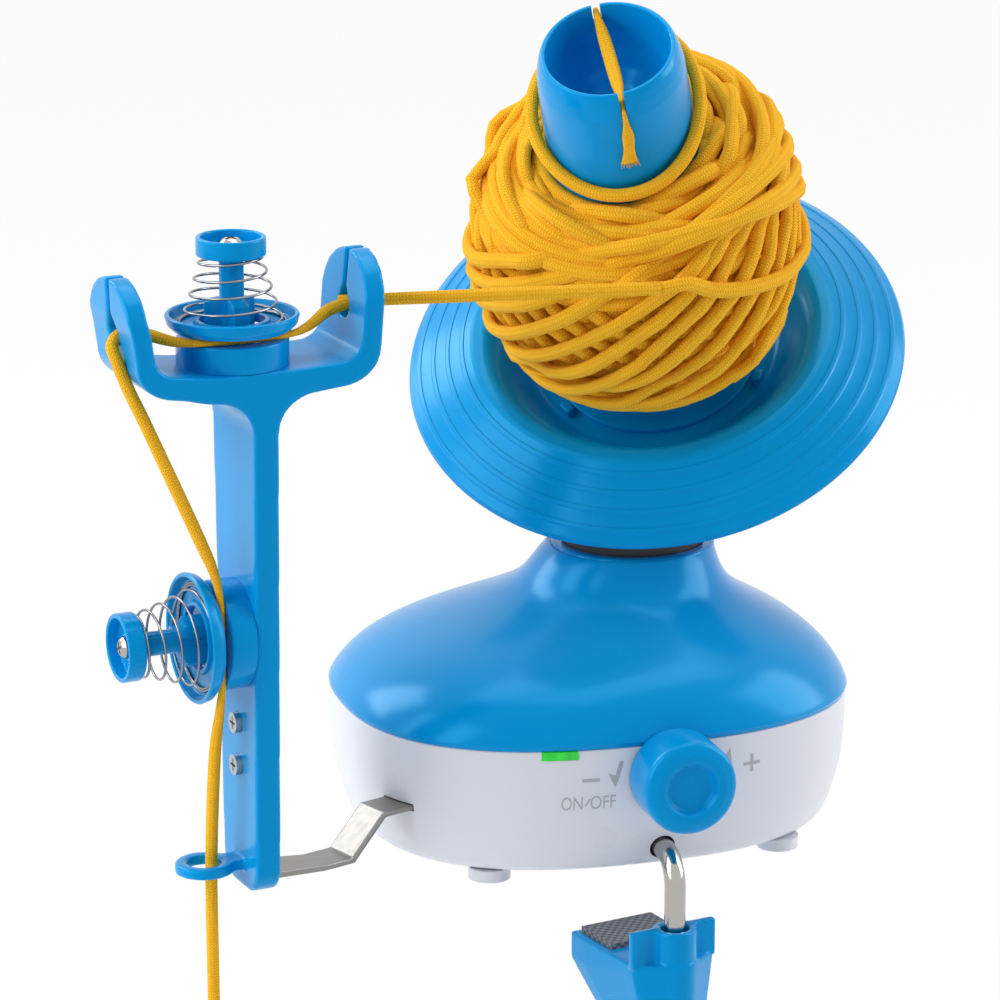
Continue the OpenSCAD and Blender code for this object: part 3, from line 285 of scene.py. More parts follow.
# %% Steels and brass
def metal(name, code, roughness, grain_mm, stretch, depth_mm):
    mat, tree, skin = new_skin(name, {"Base Color": srgb(code), "Metallic": 1.0})
    spot = add(tree, "ShaderNodeTexCoord").outputs["Object"]
    laid = add(tree, "ShaderNodeMapping", {"Scale": stretch}, {"Vector": spot})
    streak = noise(tree, grain_mm, 4.0, laid.outputs[0])
    link(tree, skin, {
        "Roughness": remap(tree, streak, {"To Min": roughness * 0.75, "To Max": roughness * 1.3}),
        "Normal": bump(tree, 0.4, depth_mm, streak),
    })
    return mat


polished_steel = metal("polished_steel", "#B4B1AD", 0.12, 3.0, (1, 1, 1), 0.002)
rolled_steel = metal("rolled_strip_steel", "#918F8C", 0.34, 2.0, (0.15, 1, 1), 0.012)
wire_steel = metal("drawn_spring_wire", "#8D8F93", 0.16, 2.0, (1, 1, 1), 0.002)
plated_steel = metal("zinc_plated_steel", "#B9BBBE", 0.32, 2.0, (1, 1, 1), 0.006)
turned_brass = metal("turned_brass", "#C9A24A", 0.28, 1.5, (1, 1, 0.2), 0.006)
print("metals ready")

# %% [markdown]
# The yarn is a chainette: a thin knitted tube, so its skin is rows of small V stitches along its length.
# The pattern follows the yarn's own UV map, where u is the length in metres and v goes once round.
# A stitch is about 1 mm long and nine rows go round the yarn; the grooves are painted darker as shade between
# the stitches, and the crests lighter.

# %% Golden chainette yarn
STITCH_MM, ROWS, SLANT, GULLY = 1.0, 9, 1.3, 0.16
FIBRE_MM, DYE_MM, KNIT_DEPTH_MM = 0.9, 20, 0.28


def knitted_yarn(name, shaded_groove_code, lit_crest_code):
    mat, tree, skin = new_skin(name, {
        "Roughness": 0.85, "Specular IOR Level": 0.2,
        "Sheen Weight": 0.12, "Sheen Roughness": 0.45, "Sheen Tint": srgb("#FFDE8A"),
    })
    place = add(tree, "ShaderNodeUVMap", {"uv_map": "length_round"})
    parts = add(tree, "ShaderNodeSeparateXYZ", None, {0: place.outputs[0]})
    across = maths(tree, "PINGPONG", maths(tree, "MULTIPLY", parts.outputs[1], ROWS), 0.5)
    along = maths(tree, "MULTIPLY", parts.outputs[0], 1000 / STITCH_MM)
    slant = maths(tree, "MULTIPLY_ADD", across, SLANT, along)
    wave = maths(tree, "SINE", maths(tree, "MULTIPLY", slant, 2 * math.pi))
    leg = remap(tree, wave, {"From Min": -1.0, "From Max": 1.0})
    gully = remap(tree, across, {"From Min": 0.0, "From Max": GULLY})
    stitch = maths(tree, "MULTIPLY", leg, gully)
    spot = add(tree, "ShaderNodeTexCoord").outputs["Object"]
    height = maths(tree, "MULTIPLY_ADD", noise(tree, FIBRE_MM, 3.0, spot), 0.5, stitch)
    # Painted shade: the colour follows the stitch's height and is darker in its grooves; the dye's slow
    # random tone is added on top.
    groove_shade_and_dye = maths(tree, "MULTIPLY_ADD", noise(tree, DYE_MM, 2.0, spot), 0.35, stitch)
    share = remap(tree, groove_shade_and_dye, {"From Min": 0.05, "From Max": 1.0})
    link(tree, skin, {
        "Base Color": blend(tree, share, srgb(shaded_groove_code), srgb(lit_crest_code)),
        "Normal": bump(tree, 0.6, KNIT_DEPTH_MM, height),
    })
    return mat


# The first colour is the painted shade of the grooves, the second the lighter crests.
golden_yarn = knitted_yarn("golden_chainette_yarn", "#F0A206", "#FFC930")
print("yarn: stitch", STITCH_MM, "mm, rows", ROWS)

# %% [markdown]
# Every piece ends the same way: it is set down in its place, rides on a body, takes a finish and may stand
# for solids.
# A yarn is a tube mesh along its points. Each ring has its own two half axes, so yarn can be pressed flat.

# %% Helpers for pieces and yarn tubes
HERE = Matrix()


def settle(obj, place, body, slot, mat, *stands_for):
    obj.data.transform(place)
    obj.data.materials.clear()
    obj.data.materials.append(mat)
    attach(obj, body)
    if stands_for:
        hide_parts(*stands_for)
    print(obj.name, len(obj.data.polygons), "faces on", body)


def linked(name, mesh):
    obj = bpy.data.objects.new(name, mesh)
    scene.collection.objects.link(obj)
    return obj


def built(name, points, edges, faces):
    mesh = bpy.data.meshes.new(name)
    mesh.from_pydata(points, edges, faces)
    return linked(name, mesh)


START_SIDE = (0.31, 0.22, 0.93)


def sides_of(points, hint=None):
    tangents = np.gradient(points, axis=0)
    tangents /= np.linalg.norm(tangents, axis=1)[:, None]
    if hint is not None:
        normals = hint - tangents * (hint * tangents).sum(1)[:, None]
        normals /= np.linalg.norm(normals, axis=1)[:, None]
    else:
        normals = np.zeros_like(points)
        last = np.array(START_SIDE)
        for i, t in enumerate(tangents):
            last = last - t * (last @ t)
            last = last / np.linalg.norm(last)
            normals[i] = last
    return normals, np.cross(tangents, normals)


def tube(name, points, half_w, half_h, sides, hint=None):
    """A closed tube in metres: half_w lies along the surface and half_h stands up from it."""
    count = len(points)
    up, flat = sides_of(points, hint)
    half_w = np.broadcast_to(half_w, count)
    half_h = np.broadcast_to(half_h, count)
    angle = 2 * np.pi * np.arange(sides) / sides
    ring = (points[:, None, :]
            + (half_w[:, None] * np.cos(angle))[:, :, None] * flat[:, None, :]
            + (half_h[:, None] * np.sin(angle))[:, :, None] * up[:, None, :])
    i, k = np.meshgrid(np.arange(count - 1), np.arange(sides), indexing="ij")
    j = (k + 1) % sides
    here, onward = i * sides, (i + 1) * sides
    quads = np.stack([here + k, here + j, onward + j, onward + k], -1).reshape(-1, 4)
    caps = [list(range(sides))[::-1], [(count - 1) * sides + s for s in range(sides)]]
    obj = built(name, ring.reshape(-1, 3).tolist(), [], quads.tolist() + caps)
    run = np.concatenate([[0], np.cumsum(np.linalg.norm(np.diff(points, axis=0), axis=1))])
    uv = np.stack([
        np.stack([run[i], run[i], run[i + 1], run[i + 1]], -1),
        np.stack([k, k + 1, k + 1, k], -1) / sides,
    ], -1).reshape(-1, 2)
    ends = np.concatenate([np.stack([np.full(sides, run[0]), np.arange(sides)[::-1] / sides], -1),
                           np.stack([np.full(sides, run[-1]), np.arange(sides) / sides], -1)])
    layer = obj.data.uv_layers.new(name="length_round")
    layer.data.foreach_set("uv", np.concatenate([uv, ends]).astype(np.float32).ravel())
    obj.data.update()
    for polygon in obj.data.polygons:
        polygon.use_smooth = True
    return obj


def eased(points, steps):
    """Catmull-Rom points through a given route, with any number of columns."""
    p = np.asarray(points, float)
    out = []
    for i in range(len(p) - 1):
        a, b, c, d = p[max(i - 1, 0)], p[i], p[i + 1], p[min(i + 2, len(p) - 1)]
        for k in range(steps):
            t = k / steps
            out.append(0.5 * (2 * b + (c - a) * t + (2 * a - 5 * b + 4 * c - d) * t ** 2
                              + (3 * b - a - 3 * c + d) * t ** 3))
    return np.array(out + [p[-1]])


# %% [markdown]
# The supply yarn comes up from below the picture through the ring at the arm's foot, under the side disc,
# through the left ear, under the top disc, out of the right ear and over to the ball.
# Its route is in the arm's own frame, with a half thickness at each point: the pull draws it a little
# thinner than the yarn on the ball, and the discs press it thin.

# %% Supply yarn
YARN_R, TAUT_R = 2.25, 2.0
SUPPLY = [
    (-14.2, 0, -52, TAUT_R), (-14.2, 0, -20, TAUT_R), (-14.2, 0, 16.3, TAUT_R), (-14.05, -4, 53, TAUT_R),
    (-13.85, -9, 71, 1.5), (-13.85, -11.6, 81, 1.0), (-13.85, -12, 93, 1.0), (-13.85, -11.6, 105, 1.0),
    (-15.05, -9.5, 115.5, 1.5), (-19.8, -8.6, 128, TAUT_R), (-35.9, -8.2, 165, TAUT_R),
    (-41.3, -7.8, 177, TAUT_R), (-44.6, -6.6, 186.4, TAUT_R), (-45.3, -4.0, 191.8, TAUT_R),
    (-40.4, -1.6, 194.4, TAUT_R), (-33, -2.4, 193.2, TAUT_R), (-26, -7.4, 191.4, 1.6),
    (-17, -10.6, 190.7, 1.0), (-4, -12, 190.7, 1.0), (10, -10.6, 190.7, 1.0), (18.6, -7, 191.7, 1.5),
    (28, -1.4, 194.8, TAUT_R), (36, 0, 196.2, TAUT_R), (40.4, -0.3, 196.6, TAUT_R),
]
BALL_TOUCH = np.array([-12.4, -61.2, 197.5])
route = []
for x, y, z, half in SUPPLY:
    spot = ON_ARM @ Vector((x * MM, y * MM, z * MM))
    route.append((*spot, half * MM))
route.append((*(BALL_TOUCH * MM), YARN_R * MM))
fine = eased(route, 7)[::-1]
half_h = fine[:, 3]
supply_yarn = tube("supply_yarn", fine[:, :3], half_h, half_h, 14)
settle(supply_yarn, HERE, "base", "yarn", golden_yarn, "yarn_strand", "yarn_feed")

# %% [markdown]
# The ball is wound as the machine winds it. Each turn is a circle that leans on the bobbin, and the bobbin's
# slow turn moves the next circle on by about 16 degrees, so a rising and a falling family of strands cross.
# Each new strand rests on whatever lies under it, and a taut strand bridges the hollows between two humps.
# The under coat leans so far that it reaches the bobbin's neck. The top coat leans less and is more open.
# The ball is a barrel: its outline was read from the photo as a radius at each latitude.

# %% Wound ball
STEPS = 90
COATS = [(62, 0.0431, 61.5, 52.0), (46, 0.0447, 50.0, 36.0)]
SWAY = [(2.2, 0.37, 1.3), (1.6, 1.113, 0.0)]
WOBBLE, WOBBLE_RATE, STEEPEST = 0.03, 0.21, 62.5
LAST_PEAK_AT, PAST_TOUCH, LAST_RISE = 15.0, 0.16, 0.6
STACK_MM, SQUEEZE, OWN_STEPS, PULLS = 4.6, 0.56, 8, 9
NECK_MM, FOOT_MM = 27.6, 29.6
WAIST_MM = 54.6
BARREL = [(-62, 60.6), (-44, 60.0), (-28, 59.0), (-12, 56.0), (4, WAIST_MM), (18, 56.0), (28, 58.0),
          (38, 57.2), (46, 53.4), (54, 48.0), (64, 43.5)]
CREST_PLAY, CREST_BAND, CREST_SHARE, CREST_TO = 0.9, 4.0, 93, 62
STRAND_W, STRAND_H, PLUMP, PLUMP_RATE = 2.65, 2.05, 0.05, 0.11
CLOSING, TAPER = 18, 16
LAST_TURN = [(-75, 0), (-110, -14), (-165, -27), (-215, -24), (-255, -14), (-273, -8), (-287, -2.8),
             (-302, 5.4), (-321, 16.5)]


def smooth_step(t):
    return t * t * (3 - 2 * t)


def latitudes(directions):
    return np.degrees(np.arcsin(np.clip(directions[:, 2], -1, 1)))


def barrel(directions):
    stations, radii = np.array(BARREL).T
    return np.interp(latitudes(directions), stations, radii)


def leaning_circles():
    out = []
    swing = math.radians(LAST_PEAK_AT - 90) + 2 * math.pi * sum(turns * step for turns, step, *_ in COATS)
    for turns, step_on, tilt_from, tilt_to in COATS:
        for s in range(turns * STEPS):
            phi = -2 * math.pi * s / STEPS
            swing -= 2 * math.pi * step_on / STEPS
            share = s / (turns * STEPS)
            sway = sum(size * math.sin(rate * phi + start) for size, rate, start in SWAY)
            lean = tilt_from + (tilt_to - tilt_from) * share
            tilt = math.radians(lean + min(sway, STEEPEST - tilt_from))
            now = swing + WOBBLE * math.sin(WOBBLE_RATE * phi)
            x, y, z = math.cos(phi), math.sin(phi) * math.cos(tilt), math.sin(phi) * math.sin(tilt)
            out.append((x * math.cos(now) - y * math.sin(now), x * math.sin(now) + y * math.cos(now), z))
    return np.array(out)


def on_sphere(azimuth, latitude):
    flat = np.cos(latitude)
    return np.stack([np.cos(azimuth) * flat, np.sin(azimuth) * flat, np.sin(latitude)], 1)


def last_turn(touch, onward):
    """The strand that the supply yarn runs onto, from the end of the coat to where the two meet."""
    ends = []
    for past in (PAST_TOUCH, 0.0):
        x, y, z = touch + past * onward
        ends.append((math.degrees(math.atan2(y, x)) - 360, math.degrees(math.atan2(z, math.hypot(x, y)))))
    return on_sphere(*np.radians(eased(LAST_TURN + ends, 9)).T)


def lay(directions):
    """Height of each point when the strand is laid over all that was laid before it."""
    height = np.zeros(len(directions))
    for first in range(0, len(directions), STEPS):
        now = directions[first:first + STEPS]
        need = np.zeros(len(now))
        if first:
            gap = WAIST_MM * np.sqrt(np.maximum(2 - 2 * now @ directions[:first].T, 0))
            gap[:OWN_STEPS, -OWN_STEPS:] = STACK_MM
            rise = height[:first] + SQUEEZE * np.sqrt(np.maximum(STACK_MM ** 2 - gap ** 2, 0))
            need = np.where(gap < STACK_MM, rise, 0).max(1)
        taut = need.copy()
        before = height[first - 1] if first else taut[0]
        for _ in range(PULLS):
            beside = np.concatenate([[before], taut, [taut[-1]]])
            taut = np.maximum(need, 0.5 * (beside[:-2] + beside[2:]))
        height[first:first + STEPS] = taut
    return height


def even_out(directions, height):
    """Coats pile up where circles turn back, so height is counted from the crest at each latitude."""
    latitude = latitudes(directions)
    stations = np.arange(-CREST_TO, CREST_TO + 1, CREST_BAND)
    crest = [np.percentile(height[np.abs(latitude - s) < CREST_BAND], CREST_SHARE) for s in stations]
    return np.minimum(height - np.interp(latitude, stations, crest), CREST_PLAY)


def off_bobbin(directions, radius):
    """Points at the given radii, moved straight outwards where they would lie in the bobbin."""
    across = np.linalg.norm(directions[:, :2], axis=1)
    bore = np.where(directions[:, 2] > 0, NECK_MM, FOOT_MM)
    spread = np.maximum(radius * across, bore) / across
    return np.stack([directions[:, 0] * spread, directions[:, 1] * spread, directions[:, 2] * radius], 1)


ON_BALL = ON_TILT @ move(0, 0, PLATE_DROP)
touch = np.array(ON_BALL.inverted() @ Vector(BALL_TOUCH * MM)) / MM
meet = np.linalg.norm(touch)
from_ear = ON_BALL.inverted().to_3x3() @ Vector(fine[0, :3] - fine[6, :3])
final = last_turn(touch / meet, np.array(from_ear.normalized()))
circles = np.concatenate([leaning_circles(), final])
radius = barrel(circles) + even_out(circles, lay(circles))
count = len(radius)
radius[-len(final):] = np.maximum(radius[-len(final):], barrel(final) + LAST_RISE)
closing = smooth_step(np.clip((np.arange(count) - (count - CLOSING)) / (CLOSING - 1), 0, 1))
radius = radius * (1 - closing) + meet * closing
strands = off_bobbin(circles, radius)
plump = 1 + PLUMP * np.sin(np.arange(count) * PLUMP_RATE)
wide = STRAND_W * MM * plump
wide[-TAPER:] = np.linspace(STRAND_W, YARN_R, TAPER) * MM
wound_ball = tube("wound_ball", strands * MM, wide, STRAND_H * MM * plump, 8, circles)
settle(wound_ball, ON_BALL, "turntable", "yarn", golden_yarn, "yarn_winding")
print("ball radius", round(radius.min(), 1), "to", round(radius.max(), 1), "mm")

# %% [markdown]
# Between the strands one looks down on older yarn. It is one close spiral, wound flat round the bobbin
# a little below the coats, so every gap shows yarn and none shows a plain body.

# %% Yarn under the coats
SPIRAL_TURNS, SPIRAL_STEPS, SPIRAL_TO, SPIRAL_DEPTH = 27, 48, 60, 6.5
SPIRAL_W, SPIRAL_H, SPIRAL_WAVE, WAVE_RATE = 2.9, 2.2, 1.2, 0.31
share = np.linspace(0, 1, SPIRAL_TURNS * SPIRAL_STEPS + 1)
latitude = np.radians(-SPIRAL_TO + 2 * SPIRAL_TO * share)
around = 2 * np.pi * SPIRAL_TURNS * share
spiral = on_sphere(around, latitude)
deep = barrel(spiral) - SPIRAL_DEPTH + SPIRAL_WAVE * np.sin(around * WAVE_RATE)
under_yarn = tube("under_yarn", off_bobbin(spiral, deep) * MM, SPIRAL_W * MM, SPIRAL_H * MM, 6, spiral)
settle(under_yarn, ON_BALL, "turntable", "yarn", golden_yarn, "yarn_core")

# %% [markdown]
# One turn has slipped off the ball and hangs round the bobbin's neck, low at the front and high behind.
# The yarn's first end lies flat across the bobbin's mouth, is pinched in the two rim slots,
# and hangs out at the front as a short frayed tuft.

# %% Loose turn and yarn end
NECK_LOOP_MM, NECK_LOOP_H, NECK_LOOP_DIP, NECK_LOW_AT = 27.3, 124.0, 11.5, math.radians(8)
LOOP_PLAY, LOOP_W, LOOP_H = 0.5, 2.3, 2.2
around = np.linspace(-math.pi, math.pi, 121)
loop_h = NECK_LOOP_H - NECK_LOOP_DIP * np.cos(around - NECK_LOW_AT)
loop_r = NECK_LOOP_MM + LOOP_PLAY * np.sin(3 * around)
loop = np.stack([loop_r * np.cos(around), loop_r * np.sin(around), loop_h], 1)
neck_turn = tube("neck_turn", loop * MM, LOOP_W * MM, LOOP_H * MM, 12, loop * (1, 1, 0))
settle(neck_turn, ON_TILT, "turntable", "yarn", golden_yarn)

RIM_SLOT_TURN = 21
YARN_END = [
    (-24.6, 0, 141.5, 0.8, 0.5), (-22.6, 0, 147.4, 0.8, 0.7), (-18.6, 0, 147.6, 1.2, 0.8),
    (-12, 0.4, 145.0, 2.0, 0.9), (-2, 0.6, 143.4, 2.2, 0.9), (9, 0.5, 144.0, 2.0, 0.9),
    (16.5, 0.2, 145.6, 1.2, 0.8), (20.6, 0, 146.0, 0.7, 0.8), (23.4, 0, 144.4, 0.7, 0.8),
    (24.9, 0, 141.0, 1.0, 0.7), (25.4, 0, 136.0, 1.9, 0.7), (25.6, -0.3, 131.0, 1.8, 0.7),
    (25.8, -0.6, 127.5, 2.2, 0.6), (26.0, -0.8, 125.0, 2.8, 0.5),
]
STRAYS, STRAY_R = 34, 0.1
TUFT_X, TUFT_Y, TUFT_Z, TUFT_HALF = 26.0, -0.8, 125.8, 2.6
end_fine = eased(YARN_END, 8)
flat_up = np.gradient(end_fine[:, :3], axis=0)
flat_up = np.stack([-flat_up[:, 2], np.zeros(len(flat_up)), flat_up[:, 0]], 1) + (1e-6, 0, 1e-6)
yarn_end = tube("yarn_end", end_fine[:, :3] * MM, end_fine[:, 3] * MM, end_fine[:, 4] * MM, 12, flat_up)
draw = np.random.default_rng(5)
strays = []
for k in range(STRAYS):
    side = draw.uniform(-TUFT_HALF, TUFT_HALF)
    start = np.array([TUFT_X + draw.uniform(-0.4, 0.4), side + TUFT_Y, TUFT_Z])
    away = np.array([draw.uniform(-0.1, 0.9), side * 0.25 + draw.uniform(-0.5, 0.5), -draw.uniform(1.0, 2.6)])
    bend = np.array([draw.uniform(0, 0.5), draw.uniform(-0.5, 0.5), 0.0])
    fibre = np.array([start + away * t + bend * t * t for t in (0, 0.5, 1.0)])
    strays.append(tube("stray_fibre", fibre * MM, STRAY_R * MM, STRAY_R * MM, 4))


def only(obj):
    bpy.ops.object.select_all(action="DESELECT")
    obj.select_set(True)
    bpy.context.view_layer.objects.active = obj


def join(main, others):
    only(main)
    for other in others:
        other.select_set(True)
    bpy.ops.object.join()
    return main


join(yarn_end, strays)
settle(yarn_end, ON_TILT @ turn(RIM_SLOT_TURN, "Z"), "turntable", "yarn", golden_yarn, "yarn_tail")

# %% [markdown]
# Many pieces are turned bodies: the plate, the bobbin, the knob, the discs, the caps. A half profile is drawn
# as a chain of edges, its corners are rounded as the mould rounds them, and Spin turns it once round.

# %% Helpers for turned pieces
ARC_STEPS, MOST_OF_EDGE, NEARLY_STRAIGHT, TINY = 5, 0.48, math.radians(176), 1e-6
CREASE, BEVEL_CREASE, BEVEL_STEPS = math.radians(32), math.radians(40), 3


def rounded(points, radii):
    """The closed profile with an arc of the given radius at each corner, where 0 keeps it sharp."""
    p = [Vector(q) for q in points]
    out = []
    for i, corner in enumerate(p):
        size = radii[i] if isinstance(radii, list) else radii
        before = p[i - 1] - corner
        after = p[(i + 1) % len(p)] - corner
        sharp = size <= 0 or min(before.length, after.length) < TINY
        if sharp or before.angle(after) > NEARLY_STRAIGHT:
            out.append(corner)
            continue
        reach = min(size / math.tan(before.angle(after) / 2),
                    MOST_OF_EDGE * before.length, MOST_OF_EDGE * after.length)
        start = corner + before.normalized() * reach
        end = corner + after.normalized() * reach
        for k in range(ARC_STEPS + 1):
            t = k / ARC_STEPS
            out.append(start * (1 - t) ** 2 + corner * 2 * t * (1 - t) + end * t ** 2)
    return out


def open_mesh(obj):
    only(obj)
    bpy.ops.object.mode_set(mode="EDIT")
    bpy.ops.mesh.select_all(action="SELECT")


def close_mesh(obj, gap):
    """Merges the points of the seam, turns the faces outwards and smooths all but the sharp edges."""
    bpy.ops.mesh.select_all(action="SELECT")
    bpy.ops.mesh.remove_doubles(threshold=gap)
    bpy.ops.mesh.normals_make_consistent(inside=False)
    bpy.ops.object.mode_set(mode="OBJECT")
    bpy.ops.object.shade_smooth_by_angle(angle=CREASE)
    return obj


def turned(name, points, radii, steps):
    """A closed profile of (radius, height) in millimetres, spun once round Z."""
    outline = rounded(points, radii)
    count = len(outline)
    edges = [(i, (i + 1) % count) for i in range(count)]
    obj = built(name, [(q[0] * MM, 0, q[1] * MM) for q in outline], edges, [])
    open_mesh(obj)
    bpy.ops.mesh.spin(steps=steps, angle=2 * math.pi, center=(0, 0, 0), axis=(0, 0, 1))
    return close_mesh(obj, TINY)


def block(name, low, high, bevel_mm=0.0):
    """A box between two corners in millimetres, with its edges rounded."""
    size = [(b - a) * MM for a, b in zip(low, high)]
    middle = [(a + b) / 2 * MM for a, b in zip(low, high)]
    bpy.ops.mesh.primitive_cube_add(size=1, location=(0, 0, 0))
    obj = bpy.context.object
    obj.name = name
    obj.data.transform(Matrix.Translation(middle) @ Matrix.Diagonal((*size, 1)))
    if bevel_mm:
        open_mesh(obj)
        bpy.ops.mesh.bevel(offset=bevel_mm * MM, segments=BEVEL_STEPS, affect="EDGES")
        bpy.ops.object.mode_set(mode="OBJECT")
        bpy.ops.object.shade_smooth_by_angle(angle=BEVEL_CREASE)
    return obj


def carve(obj, cutters):
    """Cuts each cutter's shape out of the piece, and removes the cutters."""
    for cutter in cutters:
        only(obj)
        cut = obj.modifiers.new("cut", "BOOLEAN")
        cut.operation = "DIFFERENCE"
        cut.solver = "EXACT"
        cut.object = cutter
        bpy.ops.object.modifier_apply(modifier=cut.name)
        bpy.data.objects.remove(cutter, do_unlink=True)
    bpy.ops.object.shade_smooth_by_angle(angle=CREASE)
    return obj


# %% [markdown]
# The plate is a shallow dish with a soft crest, and a slope outside it with four fine raised lines.
# Three lugs on its floor lock the bobbin's flange.

# %% Winding plate
PLATE_R, CREST_R, CREST_H, FLOOR_H, SKIN = 85.0, 60.0, 21.0, 4.5, 3.0
DISH_R, SLOPE, BORE_R, HUB_R, HUB_H = 38.0, 0.619, 7.02, 13, 25.5
RIB_HALF, RIB_FOOT, RIB_H = 0.55, 0.3, 0.4


def slope_h(r):
    return CREST_H - (r - CREST_R - 1) * SLOPE


def dish(t, out, drop):
    r = DISH_R + (CREST_R - 1.6 - DISH_R) * t + out
    return (r, FLOOR_H + (CREST_H - FLOOR_H) * (1 - math.cos(math.pi * t)) / 2 - drop)


under = [(BORE_R, FLOOR_H - SKIN)] + [dish(k / 16, 1.2, SKIN) for k in range(15)]
under += [(CREST_R - 1, CREST_H - SKIN - 0.6), (PLATE_R - 4, slope_h(PLATE_R - 4) - SKIN - 0.2)]
rim_h = slope_h(PLATE_R)
rim = [(PLATE_R - 1.4, rim_h - 2.6), (PLATE_R - 0.3, rim_h - 2.4), (PLATE_R, rim_h - 1.5),
       (PLATE_R - 0.6, rim_h - 0.1)]
RIB = [(RIB_HALF + RIB_FOOT, 0), (RIB_HALF, RIB_H), (-RIB_HALF, RIB_H), (-RIB_HALF - RIB_FOOT, 0)]
slope = []
for k in (3, 2, 1, 0):
    middle = CREST_R + 5 + k * (PLATE_R - CREST_R - 9) / 3
    for away, rise in RIB:
        slope.append((middle + away, slope_h(middle + away) + rise))
crest = [(CREST_R + 2, CREST_H - 0.62), (CREST_R + 0.4, CREST_H - 0.08)]
bowl = [dish(k / 24, 0, 0) for k in range(24, -1, -1)]
hub = [(HUB_R, FLOOR_H), (HUB_R, HUB_H), (BORE_R, HUB_H)]
profile = under + rim + slope + crest + bowl + hub
soft = [0.0] * len(under) + [0.5] * len(rim) + [0.12] * len(slope) + [1.5] * len(crest)
soft += [0.0] * len(bowl) + [1, 0.6, 0]
plate = turned("winding_plate_moulding", profile, soft, 160)
lugs = []
for angle in (77, 197, 317):
    lug = block("plate_lug", (DISH_R - 1.8, -2.5, FLOOR_H - 1), (DISH_R + 1.2, 2.5, FLOOR_H + 3.2), 0.6)
    lug.data.transform(turn(angle, "Z"))
    lugs.append(lug)
join(plate, lugs)
settle(plate, ON_TILT, "turntable", "blue_plastic", blue_abs, "winding_plate")

# %% [markdown]
# The bobbin is a slightly conical tube with a rounded shoulder. Its mouth is closed by a smooth bowl,
# and two narrow slots in the rim hold the yarn's end.

# %% Bobbin
TOP = 151.0
outside = [(24.6, 4.55), (35, 4.55), (35, 6.55), (28.2, 6.55), (27, 8.55), (24.0, TOP - 14), (23.75, TOP - 9),
           (23.1, TOP - 5), (22.3, TOP - 2), (21.4, TOP)]
inside = [(20.2, TOP), (19.6, TOP - 4), (18.9, TOP - 10), (17.2, TOP - 16), (14.2, TOP - 21.6),
          (9.6, TOP - 26), (4.8, TOP - 28), (0, TOP - 28.5)]
below = [(0, TOP - 31.5), (10.8, TOP - 29.4), (16.8, TOP - 23.6), (21.2, TOP - 18)]
soft = [0, 0.4, 0.6, 2.0, 1.5, 8, 5, 4, 2.5, 1.0, 1.0] + [6] * (len(inside) - 2) + [0] + [0] * len(below)
bobbin = turned("bobbin_moulding", outside + inside + below, soft, 128)
front_slot = block("front_slot", (14, -0.9, TOP - 8.5), (30, 0.9, TOP + 5))
back_slot = block("back_slot", (-30, -1.4, TOP - 8.5), (-14, 1.4, TOP + 5))
for slot_cut in (front_slot, back_slot):
    slot_cut.data.transform(turn(RIM_SLOT_TURN, "Z"))
carve(bobbin, [front_slot, back_slot])
settle(bobbin, ON_TILT, "turntable", "blue_plastic", blue_abs, "bobbin")

# %% [markdown]
# The two shells of the base are lofts: each level is a rounded oval that follows the outline of the photo.
# The white shell tucks in towards its foot. The blue one leaves the seam upright, rounds over a full brow,
# and runs up over a broad shoulder, a little hollow on the left, into a round neck.

# %% Base shells
HALF_W, HALF_D, SHIFT, SEAM_Z, NECK_Z, NECK_R = 86.0, 72.0, -16.0, 48.5, 97.5, 27.6
FOOT_H, TUCK, TUCK_POWER, EDGE_R, WALL, POWER = 4.0, 8.0, 2.9, 4.0, 2.6, 2.5
DOME_POWER, DOME_FALL, SHIFT_POWER = 3.95, 8.7, 0.65
BROW, BROW_END, LEFT_HOLLOW, HOLLOW_AT, HOLLOW_SPAN = 8.0, 0.6, 1.9, 0.58, 0.2
SEAM_ROUND, NECK_ROUND, NECK_BORE, NECK_DEPTH, LOFT_GAP = 0.7, 1.2, 24.4, 11, 1e-7
AROUND = 192


def oval(a, b, power, shift, z):
    t = 2 * np.pi * np.arange(AROUND) / AROUND
    c, s = np.cos(t), np.sin(t)
    x = shift + a * np.sign(c) * np.abs(c) ** (2 / power)
    y = b * np.sign(s) * np.abs(s) ** (2 / power)
    return np.stack([x, y, np.full(AROUND, z)], 1)


def tuck_at(z):
    share = 1 - (z - FOOT_H) / (SEAM_Z - FOOT_H)
    lift = min(max(z - FOOT_H, 0), EDGE_R)
    return TUCK * max(share, 0) ** TUCK_POWER + EDGE_R - math.sqrt(EDGE_R ** 2 - (EDGE_R - lift) ** 2)


def lower_oval(z, inset):
    k = tuck_at(z) + inset
    return oval(HALF_W - k, HALF_D - k, POWER, SHIFT, z)


def upper_oval(z, inset, drop=0.0):
    t = min(max((z - SEAM_Z) / (NECK_Z - SEAM_Z), 0), 1)
    g = 0.5 * (1 - t ** DOME_POWER) ** DOME_FALL + 0.5 * (1 - t)
    inset = inset - BROW * math.sqrt(t) * max(1 - t / BROW_END, 0) ** 2
    hollow = LEFT_HOLLOW * math.exp(-((t - HOLLOW_AT) / HOLLOW_SPAN) ** 2)
    return oval(NECK_R + (HALF_W - NECK_R) * g - inset - hollow, NECK_R + (HALF_D - NECK_R) * g - inset,
                2 + (POWER - 2) * g, SHIFT * g ** SHIFT_POWER + hollow, z - drop)


def loft(name, rings):
    """Skins a stack of rings, and closes the first and the last ring by a face."""
    faces = []
    for i in range(len(rings) - 1):
        for k in range(AROUND):
            j = (k + 1) % AROUND
            faces.append((i * AROUND + k, i * AROUND + j, (i + 1) * AROUND + j, (i + 1) * AROUND + k))
    faces.append(tuple(range(AROUND))[::-1])
    faces.append(tuple((len(rings) - 1) * AROUND + k for k in range(AROUND)))
    obj = built(name, (np.concatenate(rings) * MM).tolist(), [], faces)
    open_mesh(obj)
    return close_mesh(obj, LOFT_GAP)


